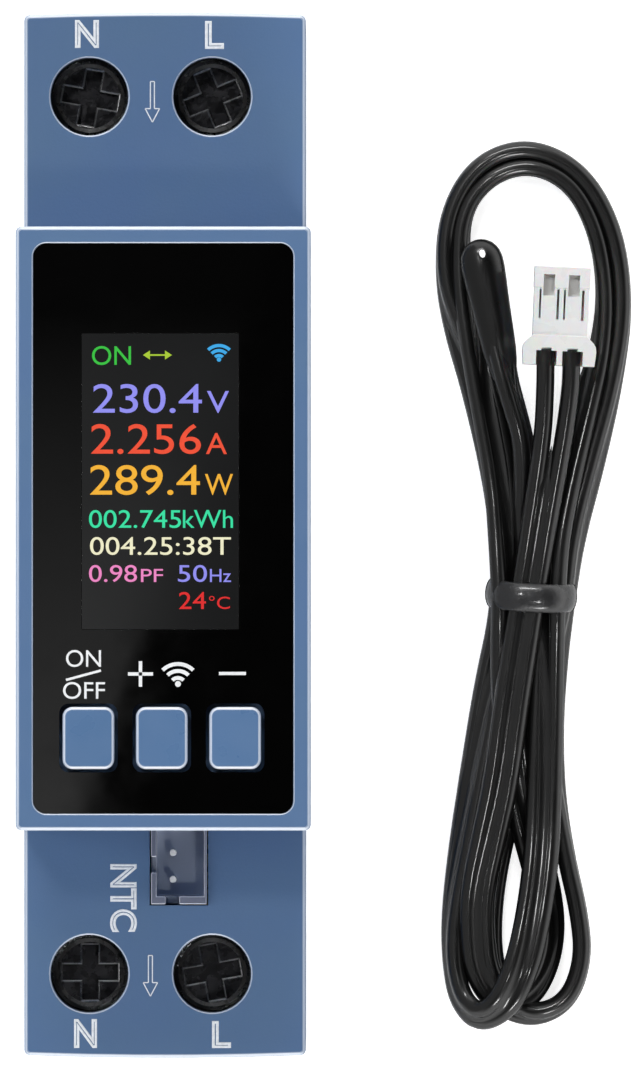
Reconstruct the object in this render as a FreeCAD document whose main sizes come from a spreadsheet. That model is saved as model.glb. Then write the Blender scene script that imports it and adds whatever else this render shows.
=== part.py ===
import FreeCAD, Part
import Sketcher
import math
import os
import re
from types import SimpleNamespace

from FreeCAD import Rotation, Vector

# Mains power meter for a 35 mm rail, lying on its back, with its temperature lead beside it.
# X runs to the right, Y to the upper terminals and Z out of the display.
# The origin is the middle of the back face. Every size is in millimetres.

os.makedirs("parts", exist_ok=True)
doc = FreeCAD.newDocument("PowerMeter")
sheet = doc.addObject("Spreadsheet::Sheet", "Sizes")

SIZES = {
    # Housing
    "case_width": 21.24,
    "case_height": 78.8,
    "shelf_level": 44.0,
    "case_wall": 1.3,
    "shelf_wall": 1.6,
    "end_crown": 0.2,
    "seam_level": 12.0,
    "case_corner": 0.45,
    "edge_round": 0.35,
    "seam_tongue": 0.6,
    "tongue_rise": 1.2,
    "fit_gap": 0.1,
    # Latches between the rear base and the housing
    "latch_width": 4.0,
    "latch_thick": 0.9,
    "latch_spread": 50.0,
    "latch_top": 18.0,
    "barb_height": 1.6,
    # Rail channel and its clip
    "rail_width": 35.0,
    "rail_play": 0.5,
    "rail_seat": 6.0,
    "hook_reach": 1.65,
    "hook_level": 4.8,
    "hook_thick": 1.2,
    "hook_lead": 2.6,
    "floor_wall": 1.6,
    "clip_width": 12.0,
    "clip_thick": 3.4,
    "clip_skin": 1.0,
    "clip_reach": 1.35,
    "clip_travel": 3.0,
    "clip_play": 0.1,
    "slot_length": 5.0,
    "slot_width": 2.0,
    "post_thick": 1.0,
    "spring_width": 2.6,
    "spring_wire": 0.4,
    "spring_length": 9.0,
    "spring_turns": 7,
    "spring_seat": 29.0,
    "slot_inset": 5.2,
    "barb_lead": 0.8,
    # Nose with the display
    "nose_width": 22.0,
    "nose_height": 45.0,
    "nose_shift": 0.5,
    "front_level": 62.0,
    "front_wall": 1.8,
    "skirt_depth": 3.4,
    "skirt_wall": 1.0,
    "ledge_depth": 2.2,
    "panel_width": 19.4,
    "panel_height": 42.5,
    "panel_corner": 1.0,
    "recess_lip": 0.12,
    "panel_thick": 0.8,
    "panel_sink": 0.15,
    "window_width": 11.76,
    "window_height": 22.1,
    "window_x": -0.22,
    "window_y": 4.01,
    "glass_gap": 0.04,
    "frame_margin": 1.3,
    "frame_tail": 2.4,
    # Keys and the switches under them
    "key_width": 3.86,
    "key_height": 4.63,
    "key_corner": 0.73,
    "key_round": 0.28,
    "key_rise": 0.7,
    "key_gap": 0.25,
    "key_pitch": 5.46,
    "key_x": -0.1,
    "key_y": -15.1,
    "key_flange": 0.5,
    "flange_thick": 0.8,
    "key_stem": 2.6,
    "key_travel": 0.4,
    "switch_side": 4.5,
    "switch_height": 2.3,
    "plunger_width": 2.2,
    "plunger_rise": 0.5,
    "plunger_depth": 0.85,
    "running_gap": 0.06,
    # Boards and what they carry
    "board_thick": 1.6,
    "front_board_level": 54.2,
    "board_play": 0.1,
    "board_face": -1.05,
    "board_lift": 0.3,
    "board_low_end": -28.2,
    "board_high_end": 27.4,
    "board_neck_low": -16.0,
    "board_neck_high": 6.0,
    "board_neck_top": 50.0,
    "relay_width": 10.0,
    "relay_length": 18.2,
    "relay_height": 15.3,
    "relay_low_end": 4.0,
    "relay_level": 9.0,
    "ring_radius": 4.9,
    "ring_bore": 2.95,
    "ring_thick": 6.0,
    "ring_shift": 0.45,
    "ring_y": -16.0,
    "can_radius": 4.0,
    "can_length": 12.0,
    "can_low_end": -27.0,
    "can_level": 13.6,
    "varistor_radius": 4.5,
    "varistor_thick": 3.6,
    "varistor_y": -10.0,
    "varistor_level": 16.0,
    "radio_width": 14.0,
    "radio_length": 12.4,
    "radio_thick": 2.8,
    "radio_low_end": 5.0,
    "link_width": 2.5,
    "link_length": 12.7,
    "link_low_end": -9.0,
    "tapping_head": 2.6,
    "tapping_thread": 1.5,
    "tapping_head_thick": 1.0,
    "tapping_length": 4.6,
    "post_side": 3.0,
    # Terminals
    "terminal_inset": 6.35,
    "neutral_inset": 4.92,
    "line_inset": 7.07,
    "well_width": 5.86,
    "well_lip": 0.16,
    "cage_width": 6.0,
    "cage_length": 6.4,
    "cage_wall": 0.8,
    "cage_floor": 0.9,
    "cage_roof": 2.0,
    "cage_level": 21.9,
    "cage_window": 8.4,
    "cage_lift": 2.8,
    "cage_rest": 0.3,
    "thread_width": 3.9,
    "screw_head": 5.2,
    "screw_head_thick": 2.4,
    "screw_top": 38.5,
    "screw_bevel": 0.3,
    "cross_length": 4.15,
    "cross_width": 1.2,
    "cross_depth": 1.0,
    "bar_width": 4.2,
    "bar_thick": 1.6,
    "bar_level": 27.4,
    "bar_tip_gap": 0.05,
    "block_low": 20.4,
    "block_depth": 10.8,
    "entry_width": 5.0,
    "entry_height": 5.2,
    "entry_level": 25.1,
    "entry_corner": 0.6,
    "leg_foot": 12.0,
    # Lead socket
    "socket_width": 4.2,
    "socket_length": 5.7,
    "socket_wall": 0.42,
    "socket_top": 44.5,
    "socket_height": 6.0,
    "socket_inset": 0.1,
    "socket_floor": 1.5,
    "pin_side": 0.5,
    "pin_pitch": 2.0,
    "pin_x": 0.6,
    "pin_top": 43.4,
    "key_slot": 1.2,
    "end_slot": 1.0,
    "slot_depth": 4.0,
    # Temperature lead, its plug, probe head and tie
    "lead_width": 1.4,
    "strand_step": 1.85,
    "column_step": 2.3,
    "waist_x": 28.0,
    "waist_y": -4.8,
    "tie_length": 2.5,
    "tie_wall": 0.5,
    "tie_gap": 0.1,
    "floor_gap": 0.05,
    "plug_x": 30.1,
    "plug_tail": 13.1,
    "plug_level": 5.6,
    "plug_width": 4.35,
    "plug_length": 5.3,
    "plug_height": 4.2,
    "collar_width": 5.8,
    "collar_length": 2.3,
    "collar_height": 4.6,
    "shoulder_cut": 0.6,
    "wire_bay": 1.6,
    "wire_bay_length": 1.2,
    "plug_window": 0.85,
    "plug_window_length": 1.65,
    "plug_window_inset": 0.6,
    "tongue_slot": 0.16,
    "tongue_slot_length": 2.25,
    "tongue_slot_low": 3.6,
    "tongue_offset": 0.68,
    "tongue_sink": 1.2,
    "contact_side": 1.1,
    "contact_length": 5.6,
    "head_length": 14.9,
    "head_width": 3.3,
    "head_tilt": 10.8,
    "head_x": 26.8,
    "head_y": 8.15,
    "head_level": 4.1,
    "head_hole": 0.5,
    "head_wall": 0.3,
    "neck_draw": 0.06,
    "neck_end": 2.7,
    "flare_end": 7.0,
    "swell_end": 11.0,
    "swell_draw": 0.03,
    "bead_width": 1.3,
    "plug_tilt": -2.5,
    "loop_right": 35.2,
    "loop_right_y": 18.5,
    "loop_top": 29.6,
    "loop_top_x": 27.46,
    "loop_left": 21.3,
    "loop_left_y": 21.4,
    "loop_step": 2.05,
    "strand_rise": 1.55,
    "bend_lift": 2.25,
    "plug_bend_x": 29.35,
    "plug_bend_y": 4.5,
    "plug_bend_level": 4.7,
    "inner_bend_left": 26.15,
    "inner_bend_right": 29.7,
    "inner_bend_low_x": 27.95,
    "inner_bend_low": -35.0,
    "inner_bend_side": -32.2,
    "outer_bend_low": -37.25,
    "outer_bend_side": -30.6,
    "left_bend_left": 21.85,
    "left_bend_right": 28.6,
    "left_bend_low_x": 24.55,
    "right_bend_left": 23.7,
    "right_bend_right": 32.0,
    "right_bend_low_x": 27.8,
}

for row, (alias, number) in enumerate(SIZES.items(), start=1):
    sheet.set(f"A{row}", alias)
    sheet.set(f"B{row}", str(number))
    sheet.setAlias(f"B{row}", alias)
doc.recompute()

size = SimpleNamespace(**{alias: float(sheet.get(alias)) for alias in SIZES})
reckoner = doc.addObject("Spreadsheet::Sheet", "Reckoner")
word = re.compile(r"[a-z][a-z_]*")
subParts = []


def tied(formula):
    """Write a formula of size names as the document's own expression."""
    return word.sub(lambda found: "Sizes." + found.group(0), str(formula))


def kept(feature, label):
    """Name a finished sub-part and list it for export."""
    feature.Label = label
    subParts.append(feature)
    return feature


# Shapes with a bound size

def block(name, low, high):
    """A box from its low corner to its high corner."""
    solid = doc.addObject("Part::Box", name)
    sides = zip(("Length", "Width", "Height"), "xyz", low, high)
    for side, axis, start, end in sides:
        solid.setExpression(side, tied(f"({end}) - ({start})"))
        solid.setExpression(f"Placement.Base.{axis}", tied(start))
    return solid


AXIS_TURN = {
    "x": Rotation(Vector(0, 1, 0), 90),
    "y": Rotation(Vector(1, 0, 0), -90),
    "z": Rotation(),
}


def shaft(name, base, radius, length, along="z"):
    """A cylinder from its base centre along one axis."""
    solid = doc.addObject("Part::Cylinder", name)
    solid.Placement.Rotation = AXIS_TURN[along]
    solid.setExpression("Radius", tied(radius))
    solid.setExpression("Height", tied(length))
    for axis, start in zip("xyz", base):
        solid.setExpression(f"Placement.Base.{axis}", tied(start))
    return solid


def joined(name, solids):
    """Several solids in one object."""
    group = doc.addObject("Part::MultiFuse", name)
    group.Shapes = solids
    group.Refine = True
    return group


def carved(name, solid, tools):
    """A solid less its tools."""
    cut = doc.addObject("Part::Cut", name)
    cut.Base = solid
    cut.Tool = tools[0] if len(tools) == 1 else joined(name + "_tools", tools)
    cut.Refine = True
    return cut


# Moulded bodies from sketches

def newBody(name):
    body = doc.addObject("PartDesign::Body", name)
    doc.recompute()
    return body


def placeSketch(body, name, plane, corner):
    """A sketch on one of the body's own planes, moved by bound offsets."""
    sketch = body.newObject("Sketcher::SketchObject", name)
    support = [item for item in body.Origin.OriginFeatures if item.Role == plane][0]
    sketch.AttachmentSupport = (support, [""])
    sketch.MapMode = "FlatFace"
    for axis, shift in zip("xyz", corner):
        sketch.setExpression(f"AttachmentOffset.Base.{axis}", tied(shift))
    return sketch


def rectangle(body, name, plane, centre, width, height):
    """A rectangle about its own centre, with both sides bound."""
    sketch = placeSketch(body, name, plane, centre)
    corners = [Vector(-5, -5, 0), Vector(5, -5, 0), Vector(5, 5, 0), Vector(-5, 5, 0)]
    for index in range(4):
        sketch.addGeometry(Part.LineSegment(corners[index], corners[(index + 1) % 4]))
    rules = Sketcher.Constraint
    for index in range(4):
        sketch.addConstraint(rules("Coincident", index, 2, (index + 1) % 4, 1))
    for index, way in enumerate(("Horizontal", "Vertical", "Horizontal", "Vertical")):
        sketch.addConstraint(rules(way, index))
    sketch.addConstraint(rules("Symmetric", 0, 1, 2, 1, -1, 1))
    across = sketch.addConstraint(rules("DistanceX", 0, 1, 0, 2, 10.0))
    upward = sketch.addConstraint(rules("DistanceY", 1, 1, 1, 2, 10.0))
    sketch.setExpression(f"Constraints[{across}]", tied(width))
    sketch.setExpression(f"Constraints[{upward}]", tied(height))
    return sketch


def circle(body, name, plane, centre, radius):
    """A circle about its own centre, with its radius bound."""
    sketch = placeSketch(body, name, plane, centre)
    sketch.addGeometry(Part.Circle(Vector(), Vector(0, 0, 1), 1.0))
    sketch.addConstraint(Sketcher.Constraint("Coincident", 0, 3, -1, 1))
    bound = sketch.addConstraint(Sketcher.Constraint("Radius", 0, 1.0))
    sketch.setExpression(f"Constraints[{bound}]", tied(radius))
    return sketch


def polygon(body, name, plane, corner, points):
    """A closed outline whose vertices are bound, each coordinate zero or positive."""
    sketch = placeSketch(body, name, plane, corner)
    places = [Vector(numberOf(across), numberOf(upward), 0) for across, upward in points]
    count = len(points)
    for index in range(count):
        sketch.addGeometry(Part.LineSegment(places[index], places[(index + 1) % count]))
    rules = Sketcher.Constraint
    for index in range(count):
        sketch.addConstraint(rules("Coincident", index, 2, (index + 1) % count, 1))
    for index, (across, upward) in enumerate(points):
        for way, formula, line, number in (
            ("DistanceX", across, -2, places[index].x),
            ("DistanceY", upward, -1, places[index].y),
        ):
            if formula == "0":
                sketch.addConstraint(rules("PointOnObject", index, 1, line))
                continue
            rule = sketch.addConstraint(rules(way, -1, 1, index, 1, number))
            sketch.setExpression(f"Constraints[{rule}]", tied(formula))
    return sketch


def numberOf(formula):
    """The present value of a formula, worked out by a cell of a second sheet."""
    reckoner.set("A1", "=" + tied(formula))
    reckoner.recompute()
    return float(reckoner.get("A1"))


def addFeature(body, kind, name, sketch, length, upward=True):
    """Pad or pocket a sketch along its plane's normal, or against it."""
    feature = body.newObject("PartDesign::" + kind, name)
    feature.Profile = sketch
    feature.setExpression("Length", tied(length))
    feature.Reversed = upward if kind == "Pocket" else not upward
    feature.Refine = True
    before = 0 if body.Shape.isNull() else body.Shape.Volume
    doc.recompute()
    grown = body.Shape.Volume - before
    if (kind == "Pocket") == (grown >= 0):
        raise ValueError(f"{body.Name} {name} changed the volume by {grown:.3f}")
    return feature


def edgesWhere(shape, test):
    """The names of the edges that pass a test of their ends."""
    names = []
    for index, edge in enumerate(shape.Edges, start=1):
        ends = [vertex.Point for vertex in edge.Vertexes]
        if len(ends) == 2 and test(ends[0], ends[1]):
            names.append(f"Edge{index}")
    return names


def rimsAt(shape, level, radius):
    """The names of the full circles of a radius that lie at a level."""
    return [f"Edge{index}" for index, edge in enumerate(shape.Edges, start=1)
            if edge.Closed and hasattr(edge.Curve, "Radius")
            and near(edge.Curve.Radius, radius) and near(edge.Vertexes[0].Z, level)]


def dressEdges(body, kind, name, amount, test):
    """Fillet or chamfer the edges of the last feature that pass the test."""
    last = body.Tip
    names = test if isinstance(test, list) else edgesWhere(last.Shape, test)
    if not names:
        raise ValueError(f"{body.Name} {name} found no edge")
    dressed = body.newObject("PartDesign::" + kind, name)
    dressed.Base = (last, names)
    dressed.setExpression("Radius" if kind == "Fillet" else "Size", tied(amount))
    dressed.Refine = True
    body.Tip = dressed
    doc.recompute()
    return dressed


def roundEdges(body, name, radius, test):
    return dressEdges(body, "Fillet", name, radius, test)


def bevelEdges(body, name, width, test):
    return dressEdges(body, "Chamfer", name, width, test)


def near(first, second, slack=0.01):
    return abs(first - second) < slack


def upright(start, end):
    """True for an edge along Z."""
    return near(start.x, end.x) and near(start.y, end.y)


def outerCorner(width, height, shift=0.0):
    """A test for the four upright corners of a centred box."""
    def test(start, end):
        return (upright(start, end) and near(abs(start.x), width / 2)
                and near(abs(start.y - shift), height / 2, 0.3))
    return test


halfCase = "(case_width / 2)"
halfHeight = "(case_height / 2)"
innerWidth = "(case_width - 2 * case_wall)"
innerHeight = "(case_height - 2 * case_wall)"


def crownedPlan(body, name, level, width, height, crown):
    """The plan of the case: straight sides and ends that bow out a little."""
    sketch = placeSketch(body, name, "XY_Plane", ("0", "0", level))
    across = numberOf(width) / 2
    side = numberOf(height) / 2 - numberOf(crown)
    bow = numberOf(crown)
    corners = [Vector(-across, -side, 0), Vector(across, -side, 0),
               Vector(across, side, 0), Vector(-across, side, 0)]
    lower = Part.Arc(corners[0], Vector(0, -side - bow, 0), corners[1])
    upper = Part.Arc(corners[2], Vector(0, side + bow, 0), corners[3])
    sketch.addGeometry(lower)
    sketch.addGeometry(Part.LineSegment(corners[1], corners[2]))
    sketch.addGeometry(upper)
    sketch.addGeometry(Part.LineSegment(corners[3], corners[0]))
    rules = Sketcher.Constraint
    for rule in (
        rules("Coincident", 0, 2, 1, 1), rules("Coincident", 1, 2, 2, 1),
        rules("Coincident", 2, 2, 3, 1), rules("Coincident", 3, 2, 0, 1),
        rules("Symmetric", 1, 1, 3, 2, -2), rules("Symmetric", 1, 2, 3, 1, -2),
        rules("Symmetric", 1, 1, 1, 2, -1),
        rules("Equal", 0, 2),
    ):
        sketch.addConstraint(rule)
    wide = sketch.addConstraint(rules("DistanceX", 3, 2, 1, 1, 2 * across))
    tall = sketch.addConstraint(rules("DistanceY", 1, 1, 1, 2, 2 * side))
    radius = (across * across + bow * bow) / (2 * bow)
    bend = sketch.addConstraint(rules("Radius", 0, radius))
    sketch.setExpression(f"Constraints[{wide}]", tied(width))
    sketch.setExpression(f"Constraints[{tall}]", tied(f"{height} - 2 * ({crown})"))
    reach = f"(({width}) / 2)"
    sketch.setExpression(f"Constraints[{bend}]",
                         tied(f"({reach} * {reach} + {crown} * {crown}) / (2 * {crown})"))
    return sketch


# Rear base with the rail channel, its fixed hook and the tunnel of the clip

halfChannel = "(rail_width + rail_play) / 2"
channelLow = f"(nose_shift - {halfChannel})"
channelHigh = f"(nose_shift + {halfChannel})"
floorTop = "(rail_seat + floor_wall)"
clipLow = "(clip_skin + clip_play)"
springPocket = "(spring_width + 4 * clip_play)"

base = newBody("rear_base")
plan = crownedPlan(base, "base_plan", "0", "case_width", "case_height", "end_crown")
addFeature(base, "Pad", "base_block", plan, "seam_level")
roundEdges(base, "base_corners", "case_corner", outerCorner(size.case_width, size.case_height))
tongue = rectangle(base, "tongue_plan", "XY_Plane", ("0", "0", "seam_level"),
                   f"{innerWidth} + 2 * seam_tongue", f"{innerHeight} + 2 * seam_tongue")
addFeature(base, "Pad", "seam_rim", tongue, "tongue_rise")
hollow = rectangle(base, "hollow_plan", "XY_Plane", ("0", "0", "seam_level + tongue_rise"),
                   innerWidth, innerHeight)
addFeature(base, "Pocket", "base_hollow", hollow,
           f"seam_level + tongue_rise - {floorTop}", upward=False)

hookTip = f"{halfHeight} + {channelHigh} - hook_reach"
channelProfile = polygon(
    base, "channel_profile", "YZ_Plane", (f"-{halfHeight}", "0", f"-{halfCase}"), [
        (f"{halfHeight} + {channelLow}", "0"),
        (f"{hookTip} + hook_lead", "0"),
        (hookTip, "hook_level - hook_thick"),
        (hookTip, "hook_level"),
        (f"{halfHeight} + {channelHigh}", "hook_level"),
        (f"{halfHeight} + {channelHigh}", "rail_seat"),
        (f"{halfHeight} + {channelLow}", "rail_seat"),
    ])
addFeature(base, "Pocket", "rail_channel", channelProfile, "case_width")

endStart = f"({channelHigh} + hook_lead)"
endHollow = rectangle(
    base, "end_hollow_plan", "XY_Plane",
    ("0", f"({endStart} + {innerHeight} / 2) / 2", floorTop),
    innerWidth, f"{halfHeight} - case_wall - {endStart}")
addFeature(base, "Pocket", "end_hollow", endHollow, f"{floorTop} - floor_wall", upward=False)

tunnel = rectangle(
    base, "tunnel_section", "XZ_Plane",
    ("0", f"{clipLow} + clip_thick / 2", halfHeight),
    "clip_width + 2 * clip_play", "clip_thick + 2 * clip_play")
addFeature(base, "Pocket", "clip_tunnel", tunnel, f"{halfHeight} + {channelLow}", upward=False)
post = rectangle(base, "spring_post_plan", "XY_Plane",
                 ("0", "-spring_seat - post_thick / 2", "clip_skin"),
                 f"{springPocket} - 2 * clip_play", "post_thick")
addFeature(base, "Pad", "spring_post", post, "clip_thick + 2 * clip_play")
driverWindow = rectangle(
    base, "driver_window_plan", "XY_Plane",
    ("0", f"-{halfHeight} + slot_inset - clip_travel / 2", "clip_skin"),
    "slot_length + slot_width", "slot_width + clip_travel + 2 * clip_play")
addFeature(base, "Pocket", "driver_window", driverWindow, "clip_skin", upward=False)

tabX = f"({innerWidth} / 2 - fit_gap - latch_thick / 2)"
for side, sideName in ((-1, "left"), (1, "right")):
    for end, endName, foot in ((-1, "lower", floorTop), (1, "upper", "floor_wall")):
        label = f"{sideName}_{endName}"
        tab = rectangle(base, f"tab_plan_{label}", "XY_Plane",
                        (f"{side} * {tabX}", f"{end} * latch_spread / 2", foot),
                        "latch_thick", "latch_width")
        addFeature(base, "Pad", f"latch_tab_{label}", tab, f"latch_top - {foot}")
        barb = rectangle(base, f"barb_plan_{label}", "XY_Plane",
                         (f"{side} * ({tabX} + case_wall / 2)", f"{end} * latch_spread / 2",
                          "latch_top - barb_height"),
                         "latch_thick + case_wall - fit_gap", "latch_width")
        addFeature(base, "Pad", f"latch_barb_{label}", barb, "barb_height")
barbFace = (size.case_width / 2 - size.case_wall - size.fit_gap + size.case_wall / 2)
bevelEdges(base, "barb_leads", "barb_lead",
           lambda start, end: near(start.z, size.latch_top) and near(end.z, size.latch_top)
           and near(start.x, end.x) and abs(start.x) > barbFace)
kept(base, "rear_base")

# Housing with the shoulders, driver wells and wire entries

ENDS = ((1, "top"), (-1, "bottom"))
neutralX = "(neutral_inset - case_width / 2)"
lineX = "(case_width / 2 - line_inset)"
terminalY = "(case_height / 2 - terminal_inset)"
POLES = ((neutralX, "neutral"), (lineX, "line"))
shelfInner = "(shelf_level - shelf_wall)"
socketX = "(board_face + socket_width / 2)"
socketY = "(nose_shift - nose_height / 2 - socket_inset - socket_length / 2)"

housing = newBody("main_housing")
plan = crownedPlan(housing, "housing_plan", "seam_level", "case_width", "case_height", "end_crown")
addFeature(housing, "Pad", "housing_block", plan, "shelf_level - seam_level")
roundEdges(housing, "housing_corners", "case_corner",
           outerCorner(size.case_width, size.case_height))
roundEdges(housing, "shoulder_edges", "edge_round",
           lambda start, end: near(start.z, size.shelf_level) and near(end.z, size.shelf_level))
hollow = rectangle(housing, "housing_hollow_plan", "XY_Plane", ("0", "0", "seam_level"),
                   innerWidth, innerHeight)
addFeature(housing, "Pocket", "housing_hollow", hollow, f"{shelfInner} - seam_level")
rebate = rectangle(housing, "rebate_plan", "XY_Plane", ("0", "0", "seam_level"),
                   f"{innerWidth} + 2 * (seam_tongue + fit_gap)",
                   f"{innerHeight} + 2 * (seam_tongue + fit_gap)")
addFeature(housing, "Pocket", "seam_rebate", rebate, "tongue_rise + fit_gap")
opening = rectangle(housing, "nose_opening_plan", "XY_Plane",
                    ("0", "nose_shift", "shelf_level"),
                    innerWidth, "nose_height - 2 * case_wall")
addFeature(housing, "Pocket", "nose_opening", opening, "shelf_wall", upward=False)
socketHole = rectangle(housing, "socket_hole_plan", "XY_Plane",
                       (socketX, socketY, "shelf_level"),
                       "socket_width + 2 * socket_inset", "socket_length + 2 * socket_inset")
addFeature(housing, "Pocket", "socket_hole", socketHole, "shelf_wall", upward=False)
for end, endName in ENDS:
    window = rectangle(housing, f"latch_window_plan_{endName}", "YZ_Plane",
                       (f"{end} * latch_spread / 2", "latch_top - barb_height / 2",
                        f"-{halfCase}"),
                       "latch_width + 4 * fit_gap", "barb_height + 4 * fit_gap")
    addFeature(housing, "Pocket", f"latch_windows_{endName}", window, "case_width")
    for pole, poleName in POLES:
        label = f"{endName}_{poleName}"
        well = circle(housing, f"well_plan_{label}", "XY_Plane",
                      (pole, f"{end} * {terminalY}", "shelf_level"), "well_width / 2")
        addFeature(housing, "Pocket", f"driver_well_{label}", well, "shelf_wall", upward=False)
        entry = rectangle(housing, f"entry_plan_{label}", "XZ_Plane",
                          (pole, "entry_level", f"{-end} * {halfHeight}"),
                          "entry_width + 2 * fit_gap", "entry_height + 2 * fit_gap")
        addFeature(housing, "Pocket", f"wire_entry_{label}", entry,
                   "case_wall + fit_gap", upward=end > 0)
roundEdges(housing, "well_lips", "well_lip",
           rimsAt(housing.Tip.Shape, size.shelf_level, size.well_width / 2))
roundEdges(housing, "entry_corners", "entry_corner",
           lambda start, end: near(start.x, end.x) and near(start.z, end.z)
           and near(abs(start.z - size.entry_level), size.entry_height / 2 + size.fit_gap)
           and abs(start.y) > size.case_height / 2 - size.case_wall - size.fit_gap)
kept(housing, "main_housing")

# Front cover: the nose, its skirt, the panel recess and the posts of the display board

coverInner = "(front_level - front_wall)"
skirtWidth = f"({innerWidth} - 2 * fit_gap)"
skirtHeight = "(nose_height - 2 * case_wall - 2 * fit_gap)"
boardBack = "front_board_level"
boardFront = "(front_board_level + board_thick)"
boardWidth = f"({skirtWidth} - 2 * skirt_wall - 2 * board_play)"
boardHeight = f"({skirtHeight} - 2 * skirt_wall - 2 * board_play)"
screwX = f"({boardWidth} / 2 - post_side / 2)"
screwY = f"(nose_shift + {boardHeight} / 2 - post_side / 2)"
keySteps = (("key_on_off", -1), ("key_minus", 1), ("key_plus", 0))

cover = newBody("front_cover")
nose = rectangle(cover, "nose_plan", "XY_Plane", ("0", "nose_shift", "shelf_level"),
                 "nose_width", "nose_height")
addFeature(cover, "Pad", "nose_block", nose, "front_level - shelf_level")
roundEdges(cover, "nose_corners", "case_corner",
           outerCorner(size.nose_width, size.nose_height, size.nose_shift))
roundEdges(cover, "nose_edges", "edge_round",
           lambda start, end: near(start.z, size.front_level) and near(end.z, size.front_level))
skirt = rectangle(cover, "skirt_plan", "XY_Plane", ("0", "nose_shift", "shelf_level - skirt_depth"),
                  skirtWidth, skirtHeight)
addFeature(cover, "Pad", "skirt", skirt, "skirt_depth")
hollow = rectangle(cover, "skirt_hollow_plan", "XY_Plane",
                   ("0", "nose_shift", "shelf_level - skirt_depth"),
                   f"{skirtWidth} - 2 * skirt_wall", f"{skirtHeight} - 2 * skirt_wall")
addFeature(cover, "Pocket", "skirt_hollow", hollow, f"{coverInner} - shelf_level + skirt_depth")
wide = rectangle(cover, "nose_hollow_plan", "XY_Plane",
                 ("0", "nose_shift", "shelf_level + case_wall"),
                 "nose_width - 2 * case_wall", "nose_height - 2 * case_wall")
addFeature(cover, "Pocket", "nose_hollow", wide, f"{coverInner} - shelf_level - case_wall")
recess = rectangle(cover, "panel_recess_plan", "XY_Plane", ("0", "nose_shift", "front_level"),
                   "panel_width", "panel_height")
addFeature(cover, "Pocket", "panel_recess", recess, "panel_thick + panel_sink", upward=False)
recessFloor = size.front_level - size.panel_thick - size.panel_sink
roundEdges(cover, "recess_corners", "panel_corner",
           lambda start, end: upright(start, end) and min(start.z, end.z) > recessFloor - 0.01
           and near(abs(start.x), size.panel_width / 2))
roundEdges(cover, "recess_lips", "recess_lip",
           lambda start, end: near(start.z, size.front_level) and near(end.z, size.front_level)
           and max(abs(start.x), abs(end.x)) < size.panel_width / 2 + 0.01)
window = rectangle(cover, "window_plan", "XY_Plane", ("window_x", "window_y", "front_level"),
                   "window_width + 2 * fit_gap", "window_height + 2 * fit_gap")
addFeature(cover, "Pocket", "window_opening", window, "front_wall", upward=False)
for keyName, step in keySteps:
    hole = rectangle(cover, f"{keyName}_hole_plan", "XY_Plane",
                     (f"key_x + {step} * key_pitch", "key_y", "front_level"),
                     "key_width + 2 * key_gap", "key_height + 2 * key_gap")
    addFeature(cover, "Pocket", f"{keyName}_hole", hole, "front_wall", upward=False)
for side, sideName in ((-1, "left"), (1, "right")):
    boss = rectangle(cover, f"boss_plan_{sideName}", "XY_Plane",
                     (f"{side} * {screwX}", screwY, boardFront), "post_side", "post_side")
    addFeature(cover, "Pad", f"boss_{sideName}", boss, f"{coverInner} - {boardFront}")
    bore = circle(cover, f"boss_bore_plan_{sideName}", "XY_Plane",
                  (f"{side} * {screwX}", screwY, boardFront), "tapping_thread / 2 + running_gap")
    addFeature(cover, "Pocket", f"boss_bore_{sideName}", bore,
               "tapping_length - board_thick + fit_gap")
ledgeReach = "(case_wall + ledge_depth)"
ledge = rectangle(cover, "ledge_plan", "XY_Plane",
                  ("0", f"nose_shift - nose_height / 2 + {ledgeReach} / 2", boardFront),
                  f"{boardWidth}", ledgeReach)
addFeature(cover, "Pad", "board_ledge", ledge, f"{coverInner} - {boardFront}")
kept(cover, "front_cover")

# Gloss panel and the display behind its window

panelFace = "(front_level - panel_sink)"
panel = newBody("display_panel")
plate = rectangle(panel, "panel_plan", "XY_Plane", ("0", "nose_shift", f"{panelFace} - panel_thick"),
                  "panel_width - 2 * glass_gap", "panel_height - 2 * glass_gap")
addFeature(panel, "Pad", "panel_plate", plate, "panel_thick")
roundEdges(panel, "panel_corners", "panel_corner - glass_gap", upright)
window = rectangle(panel, "panel_window_plan", "XY_Plane", ("window_x", "window_y", panelFace),
                   "window_width", "window_height")
addFeature(panel, "Pocket", "panel_window", window, "panel_thick", upward=False)
for keyName, step in keySteps:
    hole = rectangle(panel, f"{keyName}_slot_plan", "XY_Plane",
                     (f"key_x + {step} * key_pitch", "key_y", panelFace),
                     "key_width + 2 * key_gap", "key_height + 2 * key_gap")
    addFeature(panel, "Pocket", f"{keyName}_slot", hole, "panel_thick", upward=False)
roundEdges(panel, "key_slot_corners", "key_corner",
           lambda start, end: upright(start, end)
           and near(abs(start.y - size.key_y), size.key_height / 2 + size.key_gap))
kept(panel, "display_panel")

frameTop = f"({coverInner} - board_lift)"
glass = block("display_glass_block",
              ("window_x - window_width / 2 + glass_gap",
               "window_y - window_height / 2 + glass_gap", frameTop),
              ("window_x + window_width / 2 - glass_gap",
               "window_y + window_height / 2 - glass_gap", f"{panelFace} - glass_gap / 2"))
kept(glass, "display_glass")
displayFrame = block("display_frame_block",
                     ("window_x - window_width / 2 - frame_margin",
                      "window_y - window_height / 2 - frame_margin - frame_tail", boardFront),
                     ("window_x + window_width / 2 + frame_margin",
                      "window_y + window_height / 2 + frame_margin", frameTop))
kept(displayFrame, "display_frame")

# Keys with their plungers, and the switches that these press

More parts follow.
